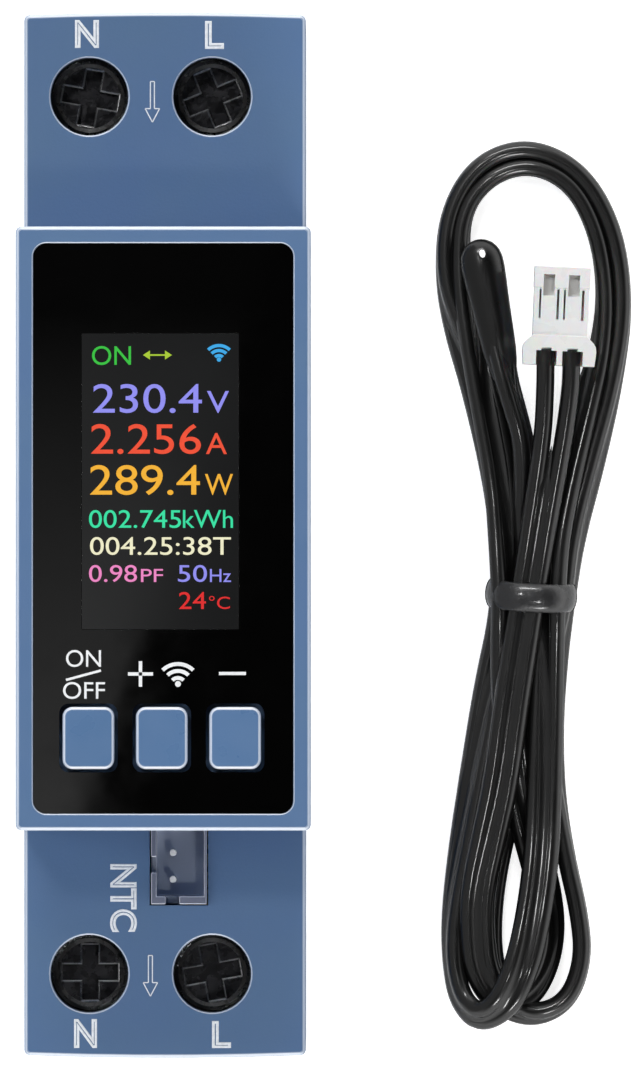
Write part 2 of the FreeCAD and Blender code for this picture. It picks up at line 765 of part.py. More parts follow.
keyTop = f"({panelFace} + key_rise)"
flangeTop = f"({coverInner} - fit_gap)"
switchTop = f"({boardFront} + switch_height)"
plungerTop = f"({switchTop} + plunger_rise)"
switches = []
for keyName, step in keySteps:
    key = newBody(keyName)
    cap = rectangle(key, "cap_plan", "XY_Plane", ("0", "0", flangeTop), "key_width", "key_height")
    addFeature(key, "Pad", "cap", cap, f"{keyTop} - {flangeTop}")
    roundEdges(key, "cap_corners", "key_corner", upright)
    roundEdges(key, "cap_edges", "key_round",
               lambda start, end: near(start.z, end.z) and start.z > size.front_level)
    flange = rectangle(key, "flange_plan", "XY_Plane", ("0", "0", f"{flangeTop} - flange_thick"),
                       "key_width + 2 * key_flange", "key_height + 2 * key_flange")
    addFeature(key, "Pad", "flange", flange, "flange_thick")
    stem = circle(key, "stem_plan", "XY_Plane", ("0", "0", plungerTop), "key_stem / 2")
    addFeature(key, "Pad", "stem", stem, f"{flangeTop} - flange_thick - {plungerTop}")
    key.setExpression("Placement.Base.x", tied(f"key_x + {step} * key_pitch"))
    key.setExpression("Placement.Base.y", tied("key_y"))
    kept(key, keyName)

    centre = (f"key_x + {step} * key_pitch", "key_y")
    plunger = shaft(f"{keyName}_plunger_shaft", (*centre, f"{switchTop} - plunger_depth"),
                    "plunger_width / 2", "plunger_depth + plunger_rise")
    kept(plunger, keyName.replace("key", "plunger"))
    body = block(f"{keyName}_switch_block",
                 (f"{centre[0]} - switch_side / 2", "key_y - switch_side / 2", boardFront),
                 (f"{centre[0]} + switch_side / 2", "key_y + switch_side / 2", switchTop))
    bore = shaft(f"{keyName}_switch_bore",
                 (*centre, f"{switchTop} - plunger_depth - key_travel - fit_gap"),
                 "plunger_width / 2 + running_gap", "plunger_depth + key_travel + 2 * fit_gap")
    switches.append(carved(f"{keyName}_switch", body, [bore]))
kept(joined("switch_row", switches), "switch_bodies")

# Display board with its screws, radio module and link to the main board

boardPlate = block("front_board_plate",
                   (f"-{boardWidth} / 2", f"nose_shift - {boardHeight} / 2", boardBack),
                   (f"{boardWidth} / 2", f"nose_shift + {boardHeight} / 2", boardFront))
holes = []
tappingScrews = []
for side, sideName in ((-1, "left"), (1, "right")):
    spot = (f"{side} * {screwX}", screwY)
    holes.append(shaft(f"board_hole_{sideName}", (*spot, f"{boardBack} - fit_gap"),
                       "tapping_thread / 2 + fit_gap", "board_thick + 2 * fit_gap"))
    head = shaft(f"tapping_head_{sideName}", (*spot, f"{boardBack} - tapping_head_thick"),
                 "tapping_head / 2", "tapping_head_thick")
    shank = shaft(f"tapping_shank_{sideName}", (*spot, boardBack),
                  "tapping_thread / 2", "tapping_length")
    tappingScrews.append(joined(f"tapping_screw_{sideName}", [head, shank]))
kept(carved("front_board_drilled", boardPlate, holes), "front_board")
kept(joined("tapping_screws", tappingScrews), "front_board_screws")
radio = block("radio_block",
              ("-radio_width / 2", "radio_low_end", f"{boardBack} - radio_thick"),
              ("radio_width / 2", "radio_low_end + radio_length", boardBack))
kept(radio, "wireless_module")
boardMiddle = "(board_face - board_thick / 2)"
link = block("link_block",
             (f"{boardMiddle} - link_width / 2", "link_low_end", "board_neck_top"),
             (f"{boardMiddle} + link_width / 2", "link_low_end + link_length", boardBack))
kept(link, "board_link")

# Main board on edge, with the parts that measure and switch the load

boardLow = f"({floorTop} + board_lift)"
boardTop = "(shelf_level - skirt_depth - board_lift)"
boardBackFace = "(board_face - board_thick)"
legLevel = "(socket_top - socket_height - 2 * pin_side)"
pinBack = f"({socketY} - pin_pitch / 2)"
pinFront = f"({socketY} + pin_pitch / 2)"
mainPlate = block("main_board_plate", (boardBackFace, "board_low_end", boardLow),
                  ("board_face", "board_high_end", boardTop))
neck = block("main_board_neck", (boardBackFace, "board_neck_low", boardTop),
             ("board_face", "board_neck_high", "board_neck_top"))
pinHoles = [
    block(f"pin_hole_{index}",
          (f"{boardBackFace} - fit_gap", f"{place} - pin_side / 2 - fit_gap",
           f"{legLevel} - fit_gap"),
          ("board_face + fit_gap", f"{place} + pin_side / 2 + fit_gap",
           f"{legLevel} + pin_side + fit_gap"))
    for index, place in enumerate((pinBack, pinFront))
]
kept(carved("main_board_drilled", joined("main_board_sheet", [mainPlate, neck]), pinHoles),
     "main_board")

relay = block("relay_block", ("board_face", "relay_low_end", "relay_level"),
              ("board_face + relay_width", "relay_low_end + relay_length",
               "relay_level + relay_height"))
relayCase = doc.addObject("Part::Chamfer", "relay_case")
relayCase.Base = relay
doc.recompute()
relayCase.Edges = [(index + 1, size.case_corner, size.case_corner)
                   for index, edge in enumerate(relay.Shape.Edges)
                   if min(vertex.Point.x for vertex in edge.Vertexes)
                   > size.board_face + size.relay_width / 2]
kept(relayCase, "power_relay")

barMiddle = "(bar_level + bar_thick / 2)"
ringX = f"({lineX} + ring_shift)"
ring = shaft("ring_body", (ringX, "ring_y", barMiddle), "ring_radius", "ring_thick", "y")
ringHole = shaft("ring_hole", (ringX, "ring_y - fit_gap", barMiddle), "ring_bore",
                 "ring_thick + 2 * fit_gap", "y")
kept(carved("ring_core", ring, [ringHole]), "current_transformer")
can = shaft("can_body", ("board_face + can_radius + fit_gap", "can_low_end", "can_level"),
            "can_radius", "can_length", "y")
kept(can, "smoothing_capacitor")
varistor = shaft("varistor_disc", (f"{boardBackFace} - varistor_thick", "varistor_y",
                                   "varistor_level"),
                 "varistor_radius", "varistor_thick", "x")
kept(varistor, "surge_varistor")

# Terminals: blocks, rising cages, screws and bars

blockTop = f"({shelfInner} - fit_gap)"
blockOuter = f"({halfHeight} - case_wall - fit_gap)"
pocketTop = "(cage_level + cage_floor + cage_window + cage_roof + cage_lift + bar_tip_gap)"
pocketEnd = f"({terminalY} + cage_length / 2 + fit_gap)"
blockInner = f"({halfHeight} - block_depth)"
chamberLow = "(cage_level - cage_rest)"
tipLevel = "(bar_level + bar_thick + bar_tip_gap)"
shankLength = f"(screw_top - screw_head_thick - {tipLevel})"
CROSS_TURNS = {"top_neutral": -10, "top_line": 22, "bottom_neutral": 0, "bottom_line": 10}

for end, endName in ENDS:
    terminal = newBody(f"{endName}_terminal_block")
    body = rectangle(terminal, "block_plan", "XY_Plane",
                     ("0", f"{end} * ({blockInner} + {blockOuter}) / 2", "block_low"),
                     f"{innerWidth} - 2 * fit_gap", f"{blockOuter} - {blockInner}")
    addFeature(terminal, "Pad", "block_body", body, f"{blockTop} - block_low")
    for pole, poleName in POLES:
        chamber = rectangle(terminal, f"chamber_plan_{poleName}", "XY_Plane",
                            (pole, f"{end} * ({blockInner} - fit_gap + {pocketEnd}) / 2",
                             chamberLow),
                            "cage_width + 2 * fit_gap", f"{pocketEnd} - {blockInner} + fit_gap")
        addFeature(terminal, "Pocket", f"chamber_{poleName}", chamber,
                   f"{pocketTop} - {chamberLow}")
        well = circle(terminal, f"well_plan_{poleName}", "XY_Plane",
                      (pole, f"{end} * {terminalY}", blockTop), "well_width / 2")
        addFeature(terminal, "Pocket", f"well_{poleName}", well,
                   f"{blockTop} - {pocketTop}", upward=False)
        entry = rectangle(terminal, f"entry_plan_{poleName}", "XZ_Plane",
                          (pole, "entry_level", f"{-end} * {blockOuter}"),
                          "entry_width", "entry_height")
        addFeature(terminal, "Pocket", f"entry_{poleName}", entry,
                   f"{blockOuter} - {pocketEnd} + fit_gap", upward=end > 0)
    kept(terminal, f"{endName}_terminal_block")

    for pole, poleName in POLES:
        label = f"{endName}_{poleName}"
        cage = newBody(f"{label}_cage")
        shell = rectangle(cage, "cage_plan", "XY_Plane", ("0", "0", "cage_level"),
                          "cage_width", "cage_length")
        addFeature(cage, "Pad", "cage_block", shell, "cage_floor + cage_window + cage_roof")
        window = rectangle(cage, "cage_window_plan", "XZ_Plane",
                           ("0", "cage_level + cage_floor + cage_window / 2", "cage_length / 2"),
                           "cage_width - 2 * cage_wall", "cage_window")
        addFeature(cage, "Pocket", "cage_opening", window, "cage_length", upward=False)
        thread = circle(cage, "thread_plan", "XY_Plane",
                        ("0", "0", "cage_level + cage_floor + cage_window"),
                        "thread_width / 2 + running_gap")
        addFeature(cage, "Pocket", "thread_bore", thread, "cage_roof")
        cage.setExpression("Placement.Base.x", tied(pole))
        cage.setExpression("Placement.Base.y", tied(f"{end} * {terminalY}"))
        kept(cage, f"{label}_cage")

        screw = newBody(f"{label}_screw")
        profile = polygon(screw, "screw_profile", "XZ_Plane", ("0", tipLevel, "0"), [
            ("0", "0"),
            ("thread_width / 2 - screw_bevel", "0"),
            ("thread_width / 2", "screw_bevel"),
            ("thread_width / 2", shankLength),
            ("screw_head / 2", shankLength),
            ("screw_head / 2", f"{shankLength} + screw_head_thick - screw_bevel"),
            ("screw_head / 2 - screw_bevel", f"{shankLength} + screw_head_thick"),
            ("0", f"{shankLength} + screw_head_thick"),
        ])
        turned = screw.newObject("PartDesign::Revolution", "screw_turning")
        turned.Profile = profile
        turned.ReferenceAxis = (profile, ["V_Axis"])
        turned.Angle = 360
        doc.recompute()
        for arm, (across, tall) in enumerate((("cross_length", "cross_width"),
                                              ("cross_width", "cross_length"))):
            slot = rectangle(screw, f"cross_plan_{arm}", "XY_Plane", ("0", "0", "screw_top"),
                             across, tall)
            addFeature(screw, "Pocket", f"cross_slot_{arm}", slot, "cross_depth", upward=False)
        screw.Placement = FreeCAD.Placement(Vector(), Rotation(Vector(0, 0, 1),
                                                               CROSS_TURNS[label]))
        screw.setExpression("Placement.Base.x", tied(pole))
        screw.setExpression("Placement.Base.y", tied(f"{end} * {terminalY}"))
        kept(screw, f"{label}_screw")

barTip = f"({terminalY} + cage_length / 2 - cage_wall / 2)"
barTop = "(bar_level + bar_thick)"
neutralBar = block("neutral_bar_block",
                   (f"{neutralX} - bar_width / 2", f"-{barTip}", "bar_level"),
                   (f"{neutralX} + bar_width / 2", barTip, barTop))
kept(neutralBar, "neutral_bar")
relayHigh = "(relay_low_end + relay_length)"
for barName, tip, legNear, legFar in (
    ("line_in_bar", barTip, f"{relayHigh} + board_lift", f"{relayHigh} + board_lift + bar_thick"),
    ("line_out_bar", f"-{barTip}", "relay_low_end - board_lift",
     "relay_low_end - board_lift - bar_thick"),
):
    ends = (tip, legNear) if barName == "line_out_bar" else (legNear, tip)
    legs = (legFar, legNear) if barName == "line_out_bar" else (legNear, legFar)
    flat = block(f"{barName}_flat", (f"{lineX} - bar_width / 2", ends[0], "bar_level"),
                 (f"{lineX} + bar_width / 2", ends[1], barTop))
    leg = block(f"{barName}_leg", (f"{lineX} - bar_width / 2", legs[0], "leg_foot"),
                (f"{lineX} + bar_width / 2", legs[1], barTop))
    kept(joined(f"{barName}_bent", [flat, leg]), barName)

# Two-pin socket for the temperature lead, in the lower shoulder

socketLow = "(socket_top - socket_height)"
socket = newBody("ntc_socket")
shell = rectangle(socket, "socket_plan", "XY_Plane", (socketX, socketY, socketLow),
                  "socket_width", "socket_length")
addFeature(socket, "Pad", "socket_block", shell, "socket_height")
cavity = rectangle(socket, "socket_cavity_plan", "XY_Plane", (socketX, socketY, "socket_top"),
                   "socket_width - 2 * socket_wall", "socket_length - 2 * socket_wall")
addFeature(socket, "Pocket", "socket_cavity", cavity,
           "socket_height - socket_floor", upward=False)
keySlot = rectangle(socket, "key_slot_plan", "XY_Plane",
                    ("board_face + socket_wall / 2", socketY, "socket_top"),
                    "socket_wall + 2 * socket_inset", "key_slot")
addFeature(socket, "Pocket", "key_notch", keySlot, "slot_depth", upward=False)
endSlots = rectangle(socket, "end_slot_plan", "XY_Plane", ("pin_x", socketY, "socket_top"),
                     "end_slot", "socket_length + 2 * socket_inset")
addFeature(socket, "Pocket", "end_notches", endSlots, "slot_depth", upward=False)
pins = []
for index, place in enumerate((pinBack, pinFront)):
    hole = rectangle(socket, f"pin_hole_plan_{index}", "XY_Plane", ("pin_x", place, socketLow),
                     "pin_side + fit_gap", "pin_side + fit_gap")
    addFeature(socket, "Pocket", f"pin_passage_{index}", hole, "socket_floor")
    upper = shaft(f"pin_upright_{index}", ("pin_x", place, legLevel), "pin_side / 2",
                  f"pin_top - {legLevel}")
    lower = block(f"pin_leg_{index}",
                  (f"{boardBackFace} - pin_side", f"{place} - pin_side / 2", legLevel),
                  ("pin_x + pin_side / 2", f"{place} + pin_side / 2",
                   f"{legLevel} + pin_side"))
    pins.append(joined(f"pin_{index}", [upper, lower]))
kept(socket, "ntc_socket")
kept(joined("socket_pins", pins), "ntc_socket_pins")

# Rail clip that slides in the tunnel against its spring

clipStart = f"({halfHeight} - 2 * fit_gap)"
clipTip = f"({channelLow} + clip_reach)"
clip = newBody("rail_clip")
plate = rectangle(clip, "clip_plan", "XY_Plane",
                  ("0", f"({clipTip} - {clipStart}) / 2", clipLow),
                  "clip_width", f"{clipTip} + {clipStart}")
addFeature(clip, "Pad", "clip_plate", plate, "clip_thick")
tipEdge = size.nose_shift - (size.rail_width + size.rail_play) / 2 + size.clip_reach
bevelEdges(clip, "clip_lead", "clip_reach - clip_play",
           lambda start, end: near(start.y, tipEdge) and near(end.y, tipEdge)
           and near(start.z, end.z) and start.z < size.clip_thick)
room = rectangle(clip, "spring_room_plan", "XY_Plane",
                 ("0", "-spring_seat + (spring_length - post_thick) / 2", clipLow),
                 springPocket, "spring_length + post_thick + 2 * clip_play")
addFeature(clip, "Pocket", "spring_room", room, "clip_thick")
slot = rectangle(clip, "driver_slot_plan", "XY_Plane",
                 ("0", f"-{halfHeight} + slot_inset", clipLow), "slot_length", "slot_width")
addFeature(clip, "Pocket", "driver_slot", slot, "clip_thick")
kept(clip, "rail_clip")


# Wound forms: one tube along arcs that meet without a kink

def tangentArc(start, corner, end):
    """An arc from start to end that touches both legs at the corner."""
    first = corner - start
    second = end - corner
    turn = first.getAngle(second)
    if turn < 1e-4:
        return Part.LineSegment(start, end), math.inf
    radius = first.Length / math.tan(turn / 2)
    middle = (start + end) * 0.5
    reach = radius / math.cos(turn / 2) - radius
    crest = corner + (middle - corner).normalize() * reach
    return Part.Arc(start, crest, end), radius


def biarc(start, startWay, end, endWay):
    """Two arcs between two points with given directions."""
    step = end - start
    ways = startWay + endWay
    spread = 2 * (1 - startWay.dot(endWay))
    along = step.dot(ways)
    if spread < 1e-6:
        leg = step.dot(step) / (2 * along)
    else:
        leg = (math.sqrt(along * along + spread * step.dot(step)) - along) / spread
    firstCorner = start + startWay * leg
    lastCorner = end - endWay * leg
    meeting = (firstCorner + lastCorner) * 0.5
    return [tangentArc(start, firstCorner, meeting), tangentArc(meeting, lastCorner, end)]


def tubeAlong(name, stations, width):
    """Sweep a round section through stations of place and direction, and measure it."""
    pieces = []
    for (start, startWay), (end, endWay) in zip(stations, stations[1:]):
        pieces += biarc(start, startWay, end, endWay)
    edges = [curve.toShape() for curve, radius in pieces]
    path = Part.Wire(edges)
    section = Part.Wire(Part.Circle(stations[0][0], stations[0][1], width / 2).toShape())
    solid = path.makePipeShell([section], True, False)
    if solid.Volume < 0:
        solid.reverse()
    radii = sorted(radius for curve, radius in pieces if radius < 1000)
    expected = math.pi * width * width / 4 * path.Length
    print(f"{name}: length {path.Length:.1f} mm, radii from {radii[0]:.2f} mm,",
          f"volume {solid.Volume / expected:.4f} of section times length")
    print(f"{name}: radii " + ", ".join(f"{radius:.1f}" for radius in radii[:12]))
    print(f"{name}: least gap to itself {leastGap(path, width):.2f} mm")
    feature = doc.addObject("Part::Feature", name + "_tube")
    feature.Shape = solid
    return feature


def leastGap(path, width):
    """The least clear distance between stretches of a path, on points along it."""
    count = int(path.Length / 0.4)
    points = path.discretize(count)
    spacing = path.Length / (count - 1)
    skip = int(3 * width / spacing) + 1
    least = math.inf
    for index, point in enumerate(points):
        for other in points[index + skip:]:
            gap = (point.x - other.x) ** 2 + (point.y - other.y) ** 2 + (point.z - other.z) ** 2
            least = min(least, gap)
    return math.sqrt(least) - width


coilRadius = (size.spring_width - size.spring_wire) / 2
springLevel = size.clip_skin + size.clip_play + size.clip_thick / 2
coilStep = (size.spring_length - 2 * size.spring_wire) / size.spring_turns
springStations = []
for half in range(2 * int(size.spring_turns) + 1):
    side = 1 if half % 2 == 0 else -1
    slope = coilStep / (2 * math.pi * coilRadius)
    way = Vector(0, slope, side).normalize()
    springStations.append((Vector(side * coilRadius,
                                  size.spring_wire + half * coilStep / 2 - size.spring_seat,
                                  springLevel), way))
kept(tubeAlong("clip_spring", springStations, size.spring_wire), "clip_spring")

# Temperature lead: two loops above the tie and three bends below it, in six passes

lowRow = size.tie_wall + size.tie_gap + size.lead_width / 2
highRow = lowRow + size.strand_step
restLevel = size.floor_gap + size.lead_width / 2
up = Vector(0, 1, 0)
down = Vector(0, -1, 0)
right = Vector(1, 0, 0)
left = Vector(-1, 0, 0)
waistHalf = size.tie_length / 2 + size.lead_width / 2


def waist(column, row, way):
    """A straight pass through the tie."""
    across = size.waist_x + column * size.column_step
    ends = [Vector(across, size.waist_y - waistHalf, row),
            Vector(across, size.waist_y + waistHalf, row)]
    if way.y < 0:
        ends.reverse()
    return [(place, way) for place in ends]


def topLoop(inset, rightLevel):
    """A loop above the tie, up its left side and down its right one."""
    return [
        (Vector(size.loop_left + inset, size.loop_left_y, restLevel), up),
        (Vector(size.loop_top_x, size.loop_top - inset, restLevel), right),
        (Vector(size.loop_right - inset, size.loop_right_y, rightLevel), down),
    ]


def bottomBend(startX, lowX, endX, sideY, lowY, levels):
    """A bend below the tie, down one side and up the other."""
    startLevel, lowLevel, endLevel = levels
    return [
        (Vector(startX, sideY, startLevel), down),
        (Vector(lowX, lowY, lowLevel), right if endX > startX else left),
        (Vector(endX, sideY, endLevel), up),
    ]


raisedLevel = restLevel + size.strand_rise
topLevel = restLevel + size.bend_lift
wireOut = size.lead_width + size.fit_gap
plugTurn = Rotation(Vector(0, 0, 1), size.plug_tilt)
plugWay = plugTurn.multVec(down)
plugEnd = Vector(size.plug_x, size.plug_tail, size.plug_level)
headTurn = Rotation(Vector(0, 0, 1), size.head_tilt)
headWay = headTurn.multVec(up)
headEnd = Vector(size.head_x, size.head_y, size.head_level)
plugBend = Vector(size.plug_bend_x, size.plug_bend_y, size.plug_bend_level)
leadStations = (
    [(plugEnd, plugWay), (plugEnd + plugWay * wireOut, plugWay), (plugBend, plugWay)]
    + waist(0, highRow, down)
    + bottomBend(size.inner_bend_left, size.inner_bend_low_x, size.inner_bend_right,
                 size.inner_bend_side, size.inner_bend_low,
                 (raisedLevel, restLevel, restLevel))
    + waist(0, lowRow, up)
    + topLoop(size.loop_step, raisedLevel)
    + waist(1, highRow, down)
    + bottomBend(size.left_bend_right, size.left_bend_low_x, size.left_bend_left,
                 size.outer_bend_side, size.outer_bend_low, (topLevel, topLevel, restLevel))
    + waist(-1, lowRow, up)
    + topLoop(0, restLevel)
    + waist(1, lowRow, down)
    + bottomBend(size.right_bend_right, size.right_bend_low_x, size.right_bend_left,
                 size.outer_bend_side, size.outer_bend_low,
                 (restLevel, restLevel, raisedLevel))
    + waist(-1, highRow, up)
    + [(headEnd - headWay * wireOut, headWay), (headEnd, headWay)]
)
kept(tubeAlong("ntc_lead", leadStations, size.lead_width), "ntc_lead")

# Plug on the lead

plug = newBody("ntc_plug")
plugParts = (
    ("collar", "collar_width", "collar_height", "0", "collar_length"),
    ("nose", "plug_width", "plug_height", "collar_length", "plug_length"),
)
for partName, across, tall, start, long in plugParts:
    section = rectangle(plug, f"plug_{partName}_section", "XZ_Plane", ("0", "0", f"-({start})"),
                        across, tall)
    addFeature(plug, "Pad", f"plug_{partName}", section, long, upward=False)
    if partName == "collar":
        bevelEdges(plug, "plug_shoulders", "shoulder_cut",
                   lambda start, end: upright(start, end)
                   and near(start.y, size.collar_length))
fullLength = "(collar_length + plug_length)"
contacts = []
for side, sideName in ((-1, "left"), (1, "right")):
    channel = rectangle(plug, f"channel_section_{sideName}", "XZ_Plane",
                        (f"{side} * pin_pitch / 2", "0", "0"),
                        "contact_side + fit_gap", "contact_side + fit_gap")
    addFeature(plug, "Pocket", f"channel_{sideName}", channel, fullLength, upward=False)
    window = rectangle(plug, f"plug_window_plan_{sideName}", "XY_Plane",
                       (f"{side} * pin_pitch / 2",
                        f"{fullLength} - plug_window_inset - plug_window_length / 2",
                        "plug_height / 2"),
                       "plug_window", "plug_window_length")
    addFeature(plug, "Pocket", f"plug_window_{sideName}", window, "plug_height / 2", upward=False)
    bay = rectangle(plug, f"wire_bay_plan_{sideName}", "XY_Plane",
                    (f"{side} * pin_pitch / 2", "wire_bay_length / 2", "collar_height / 2"),
                    "wire_bay", "wire_bay_length")
    addFeature(plug, "Pocket", f"wire_bay_{sideName}", bay,
               "(collar_height + lead_width + fit_gap) / 2", upward=False)
    for edge, edgeName in ((-1, "inner"), (1, "outer")):
        slit = rectangle(plug, f"tongue_slot_plan_{sideName}_{edgeName}", "XY_Plane",
                         (f"{side} * (pin_pitch / 2 + {edge} * tongue_offset)",
                          "tongue_slot_low + tongue_slot_length / 2", "plug_height / 2"),
                         "tongue_slot", "tongue_slot_length")
        addFeature(plug, "Pocket", f"tongue_slot_{sideName}_{edgeName}", slit, "tongue_sink",
                   upward=False)
    contact = block(f"contact_{sideName}",
                    (f"{side} * pin_pitch / 2 - contact_side / 2", "collar_length / 2",
                     "-contact_side / 2"),
                    (f"{side} * pin_pitch / 2 + contact_side / 2",
                     "collar_length / 2 + contact_length", "contact_side / 2"))
    contacts.append(contact)
plugPlace = FreeCAD.Placement(plugEnd, plugTurn)
plug.Placement = plugPlace
kept(plug, "ntc_plug")
contactPair = joined("contact_pair", contacts)
contactPair.Placement = plugPlace
kept(contactPair, "ntc_plug_contacts")

# Moulded probe head with the bead inside it

headRadius = size.head_width / 2
neckRadius = size.lead_width / 2 + size.head_wall
tipCentre = size.head_length - headRadius
neck = Vector(neckRadius, 0, 0)
flare = Vector((neckRadius + headRadius) / 2, size.flare_end, 0)
shoulder = Vector(headRadius, tipCentre, 0)
tip = Vector(0, size.head_length, 0)
crest = Vector(math.cos(math.pi / 4), math.sin(math.pi / 4), 0) * headRadius
side = Part.BSplineCurve()
side.interpolate([neck, Vector(neckRadius - size.neck_draw, size.neck_end, 0), flare,
                  Vector(headRadius - size.swell_draw, size.swell_end, 0), shoulder],
                 FinalTangent=up * tipCentre, InitialTangent=up * tipCentre)
taper = [
    Part.LineSegment(Vector(), neck),
    side,
    Part.Arc(shoulder, Vector(0, tipCentre, 0) + crest, tip),
    Part.LineSegment(tip, Vector()),
]
outline = Part.Wire([curve.toShape() for curve in taper])
drop = Part.Face(outline).revolve(Vector(), Vector(0, 1, 0), 360)
beadSpot = Vector(0, tipCentre - headRadius, 0)
hole = Part.makeCylinder(size.head_hole / 2, 2 * size.head_width,
                         Vector(0, size.head_length - 2 * size.head_hole, -size.head_width))
room = Part.makeSphere(size.bead_width / 2 + size.running_gap, beadSpot)
head = doc.addObject("Part::Feature", "probe_head_moulding")
head.Shape = drop.cut(hole).cut(room)
head.Placement = FreeCAD.Placement(headEnd, headTurn)
kept(head, "ntc_probe_head")
bead = doc.addObject("Part::Sphere", "bead")
bead.setExpression("Radius", tied("bead_width / 2"))
bead.Placement = FreeCAD.Placement(headEnd + headTurn.multVec(beadSpot), headTurn)
kept(bead, "thermistor_bead")

# Rubber ring round the hank

tie = newBody("hank_tie")
tieWidth = "(2 * column_step + lead_width + 2 * tie_gap)"
tieHeight = "(strand_step + lead_width + 2 * tie_gap)"
tieMiddle = f"(tie_wall + {tieHeight} / 2)"
tieStart = "(-waist_y + tie_length / 2)"
band = rectangle(tie, "band_section", "XZ_Plane", ("waist_x", tieMiddle, tieStart),
                 f"{tieWidth} + 2 * tie_wall", f"{tieHeight} + 2 * tie_wall")
addFeature(tie, "Pad", "band", band, "tie_length", upward=False)


def alongY(start, end):
    return near(start.x, end.x) and near(start.z, end.z)


roundEdges(tie, "band_corners", "lead_width / 2 + tie_gap + tie_wall", alongY)
bundle = rectangle(tie, "bundle_section", "XZ_Plane", ("waist_x", tieMiddle, tieStart),
                   tieWidth, tieHeight)
addFeature(tie, "Pocket", "bundle_opening", bundle, "tie_length", upward=False)
bundleSide = (2 * size.column_step + size.lead_width + 2 * size.tie_gap) / 2
roundEdges(tie, "opening_corners", "lead_width / 2 + tie_gap",
           lambda start, end: alongY(start, end)
           and near(abs(start.x - size.waist_x), bundleSide))
kept(tie, "hank_tie")

# Check the document, then write each sub-part to its own file

doc.removeObject(reckoner.Name)
doc.recompute()
for item in doc.Objects:
    if "Invalid" in item.State or "Error" in item.State:
        raise ValueError(f"{item.Name} failed: {item.State}")
for part in subParts:
    if part.Shape.isNull() or not part.Shape.isValid():
        raise ValueError(f"{part.Label} has no valid shape")
    if not part.Shape.Solids:
        raise ValueError(f"{part.Label} is not solid")
for part in subParts:
    part.Shape.exportStep(f"parts/{part.Label}.step")
    box = part.Shape.BoundBox
    print(f"{part.Label}: {len(part.Shape.Solids)} solids, {part.Shape.Volume:.1f} mm3,",
          f"x {box.XMin:.2f} to {box.XMax:.2f}, y {box.YMin:.2f} to {box.YMax:.2f},",
          f"z {box.ZMin:.2f} to {box.ZMax:.2f}")
print(f"{len(subParts)} sub-parts written")
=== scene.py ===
import math

import bmesh
import bpy
from mathutils import Matrix, Vector


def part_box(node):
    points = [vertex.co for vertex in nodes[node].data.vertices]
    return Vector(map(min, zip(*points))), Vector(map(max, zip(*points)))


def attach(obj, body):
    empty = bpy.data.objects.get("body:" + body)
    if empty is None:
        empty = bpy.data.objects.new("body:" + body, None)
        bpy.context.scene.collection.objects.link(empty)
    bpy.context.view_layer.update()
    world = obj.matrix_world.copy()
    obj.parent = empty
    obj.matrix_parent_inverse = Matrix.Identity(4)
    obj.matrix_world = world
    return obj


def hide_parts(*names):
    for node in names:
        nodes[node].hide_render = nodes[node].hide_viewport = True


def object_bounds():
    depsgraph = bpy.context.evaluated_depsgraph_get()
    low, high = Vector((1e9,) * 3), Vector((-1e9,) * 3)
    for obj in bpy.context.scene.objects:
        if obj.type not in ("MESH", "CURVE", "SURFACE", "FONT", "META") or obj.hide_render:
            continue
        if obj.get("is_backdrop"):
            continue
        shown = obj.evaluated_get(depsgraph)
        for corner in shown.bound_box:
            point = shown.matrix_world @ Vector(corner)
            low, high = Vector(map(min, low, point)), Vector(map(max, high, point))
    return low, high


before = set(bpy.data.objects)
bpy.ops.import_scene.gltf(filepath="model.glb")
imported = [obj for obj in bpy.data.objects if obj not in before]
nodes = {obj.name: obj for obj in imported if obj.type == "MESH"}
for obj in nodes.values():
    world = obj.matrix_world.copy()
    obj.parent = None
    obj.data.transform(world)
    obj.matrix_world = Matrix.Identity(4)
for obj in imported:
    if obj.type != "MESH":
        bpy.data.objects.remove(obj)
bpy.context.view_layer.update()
scene = bpy.context.scene
mm = 0.001


# Nodes and colours

def linearColour(hexColour):
    shares = [int(hexColour[place:place + 2], 16) / 255 for place in (1, 3, 5)]
    return [share / 12.92 if share <= 0.04045 else ((share + 0.055) / 1.055) ** 2.4
            for share in shares] + [1.0]


def addNode(tree, kind, settings=None, links=None):
    node = tree.nodes.new(kind)
    for name, value in (settings or {}).items():
        if name in node.inputs:
            node.inputs[name].default_value = value
        else:
            setattr(node, name, value)
    for name, source in (links or {}).items():
        tree.links.new(source, node.inputs[name])
    return node


def mathNode(tree, operation, *terms):
    node = addNode(tree, "ShaderNodeMath", {"operation": operation})
    for socket, term in zip(node.inputs, terms):
        if isinstance(term, float):
            socket.default_value = term
        else:
            tree.links.new(term, socket)
    return node.outputs["Value"]


def mapped(tree, value, start, end, low, high, **settings):
    # start becomes low and end becomes high, and nothing goes beyond them
    limits = {"From Min": start, "From Max": end, "To Min": low, "To Max": high}
    return addNode(tree, "ShaderNodeMapRange", {**limits, **settings},
                   {"Value": value}).outputs["Result"]


def startFinish(name, colour, roughness, **settings):
    finish = bpy.data.materials.new(name)
    finish.use_nodes = True
    tree = finish.node_tree
    shader = tree.nodes["Principled BSDF"]
    shader.inputs["Base Color"].default_value = linearColour(colour)
    shader.inputs["Roughness"].default_value = roughness
    for socket, value in settings.items():
        shader.inputs[socket.replace("_", " ")].default_value = value
    place = addNode(tree, "ShaderNodeTexCoord").outputs["Object"]
    return finish, tree, shader, place


def perMetre(grain):
    return 1 / (grain * mm)


def setBump(tree, shader, height, strength, depth):
    bump = addNode(tree, "ShaderNodeBump", {"Strength": strength, "Distance": depth * mm},
                   {"Height": height})
    tree.links.new(bump.outputs["Normal"], shader.inputs["Normal"])


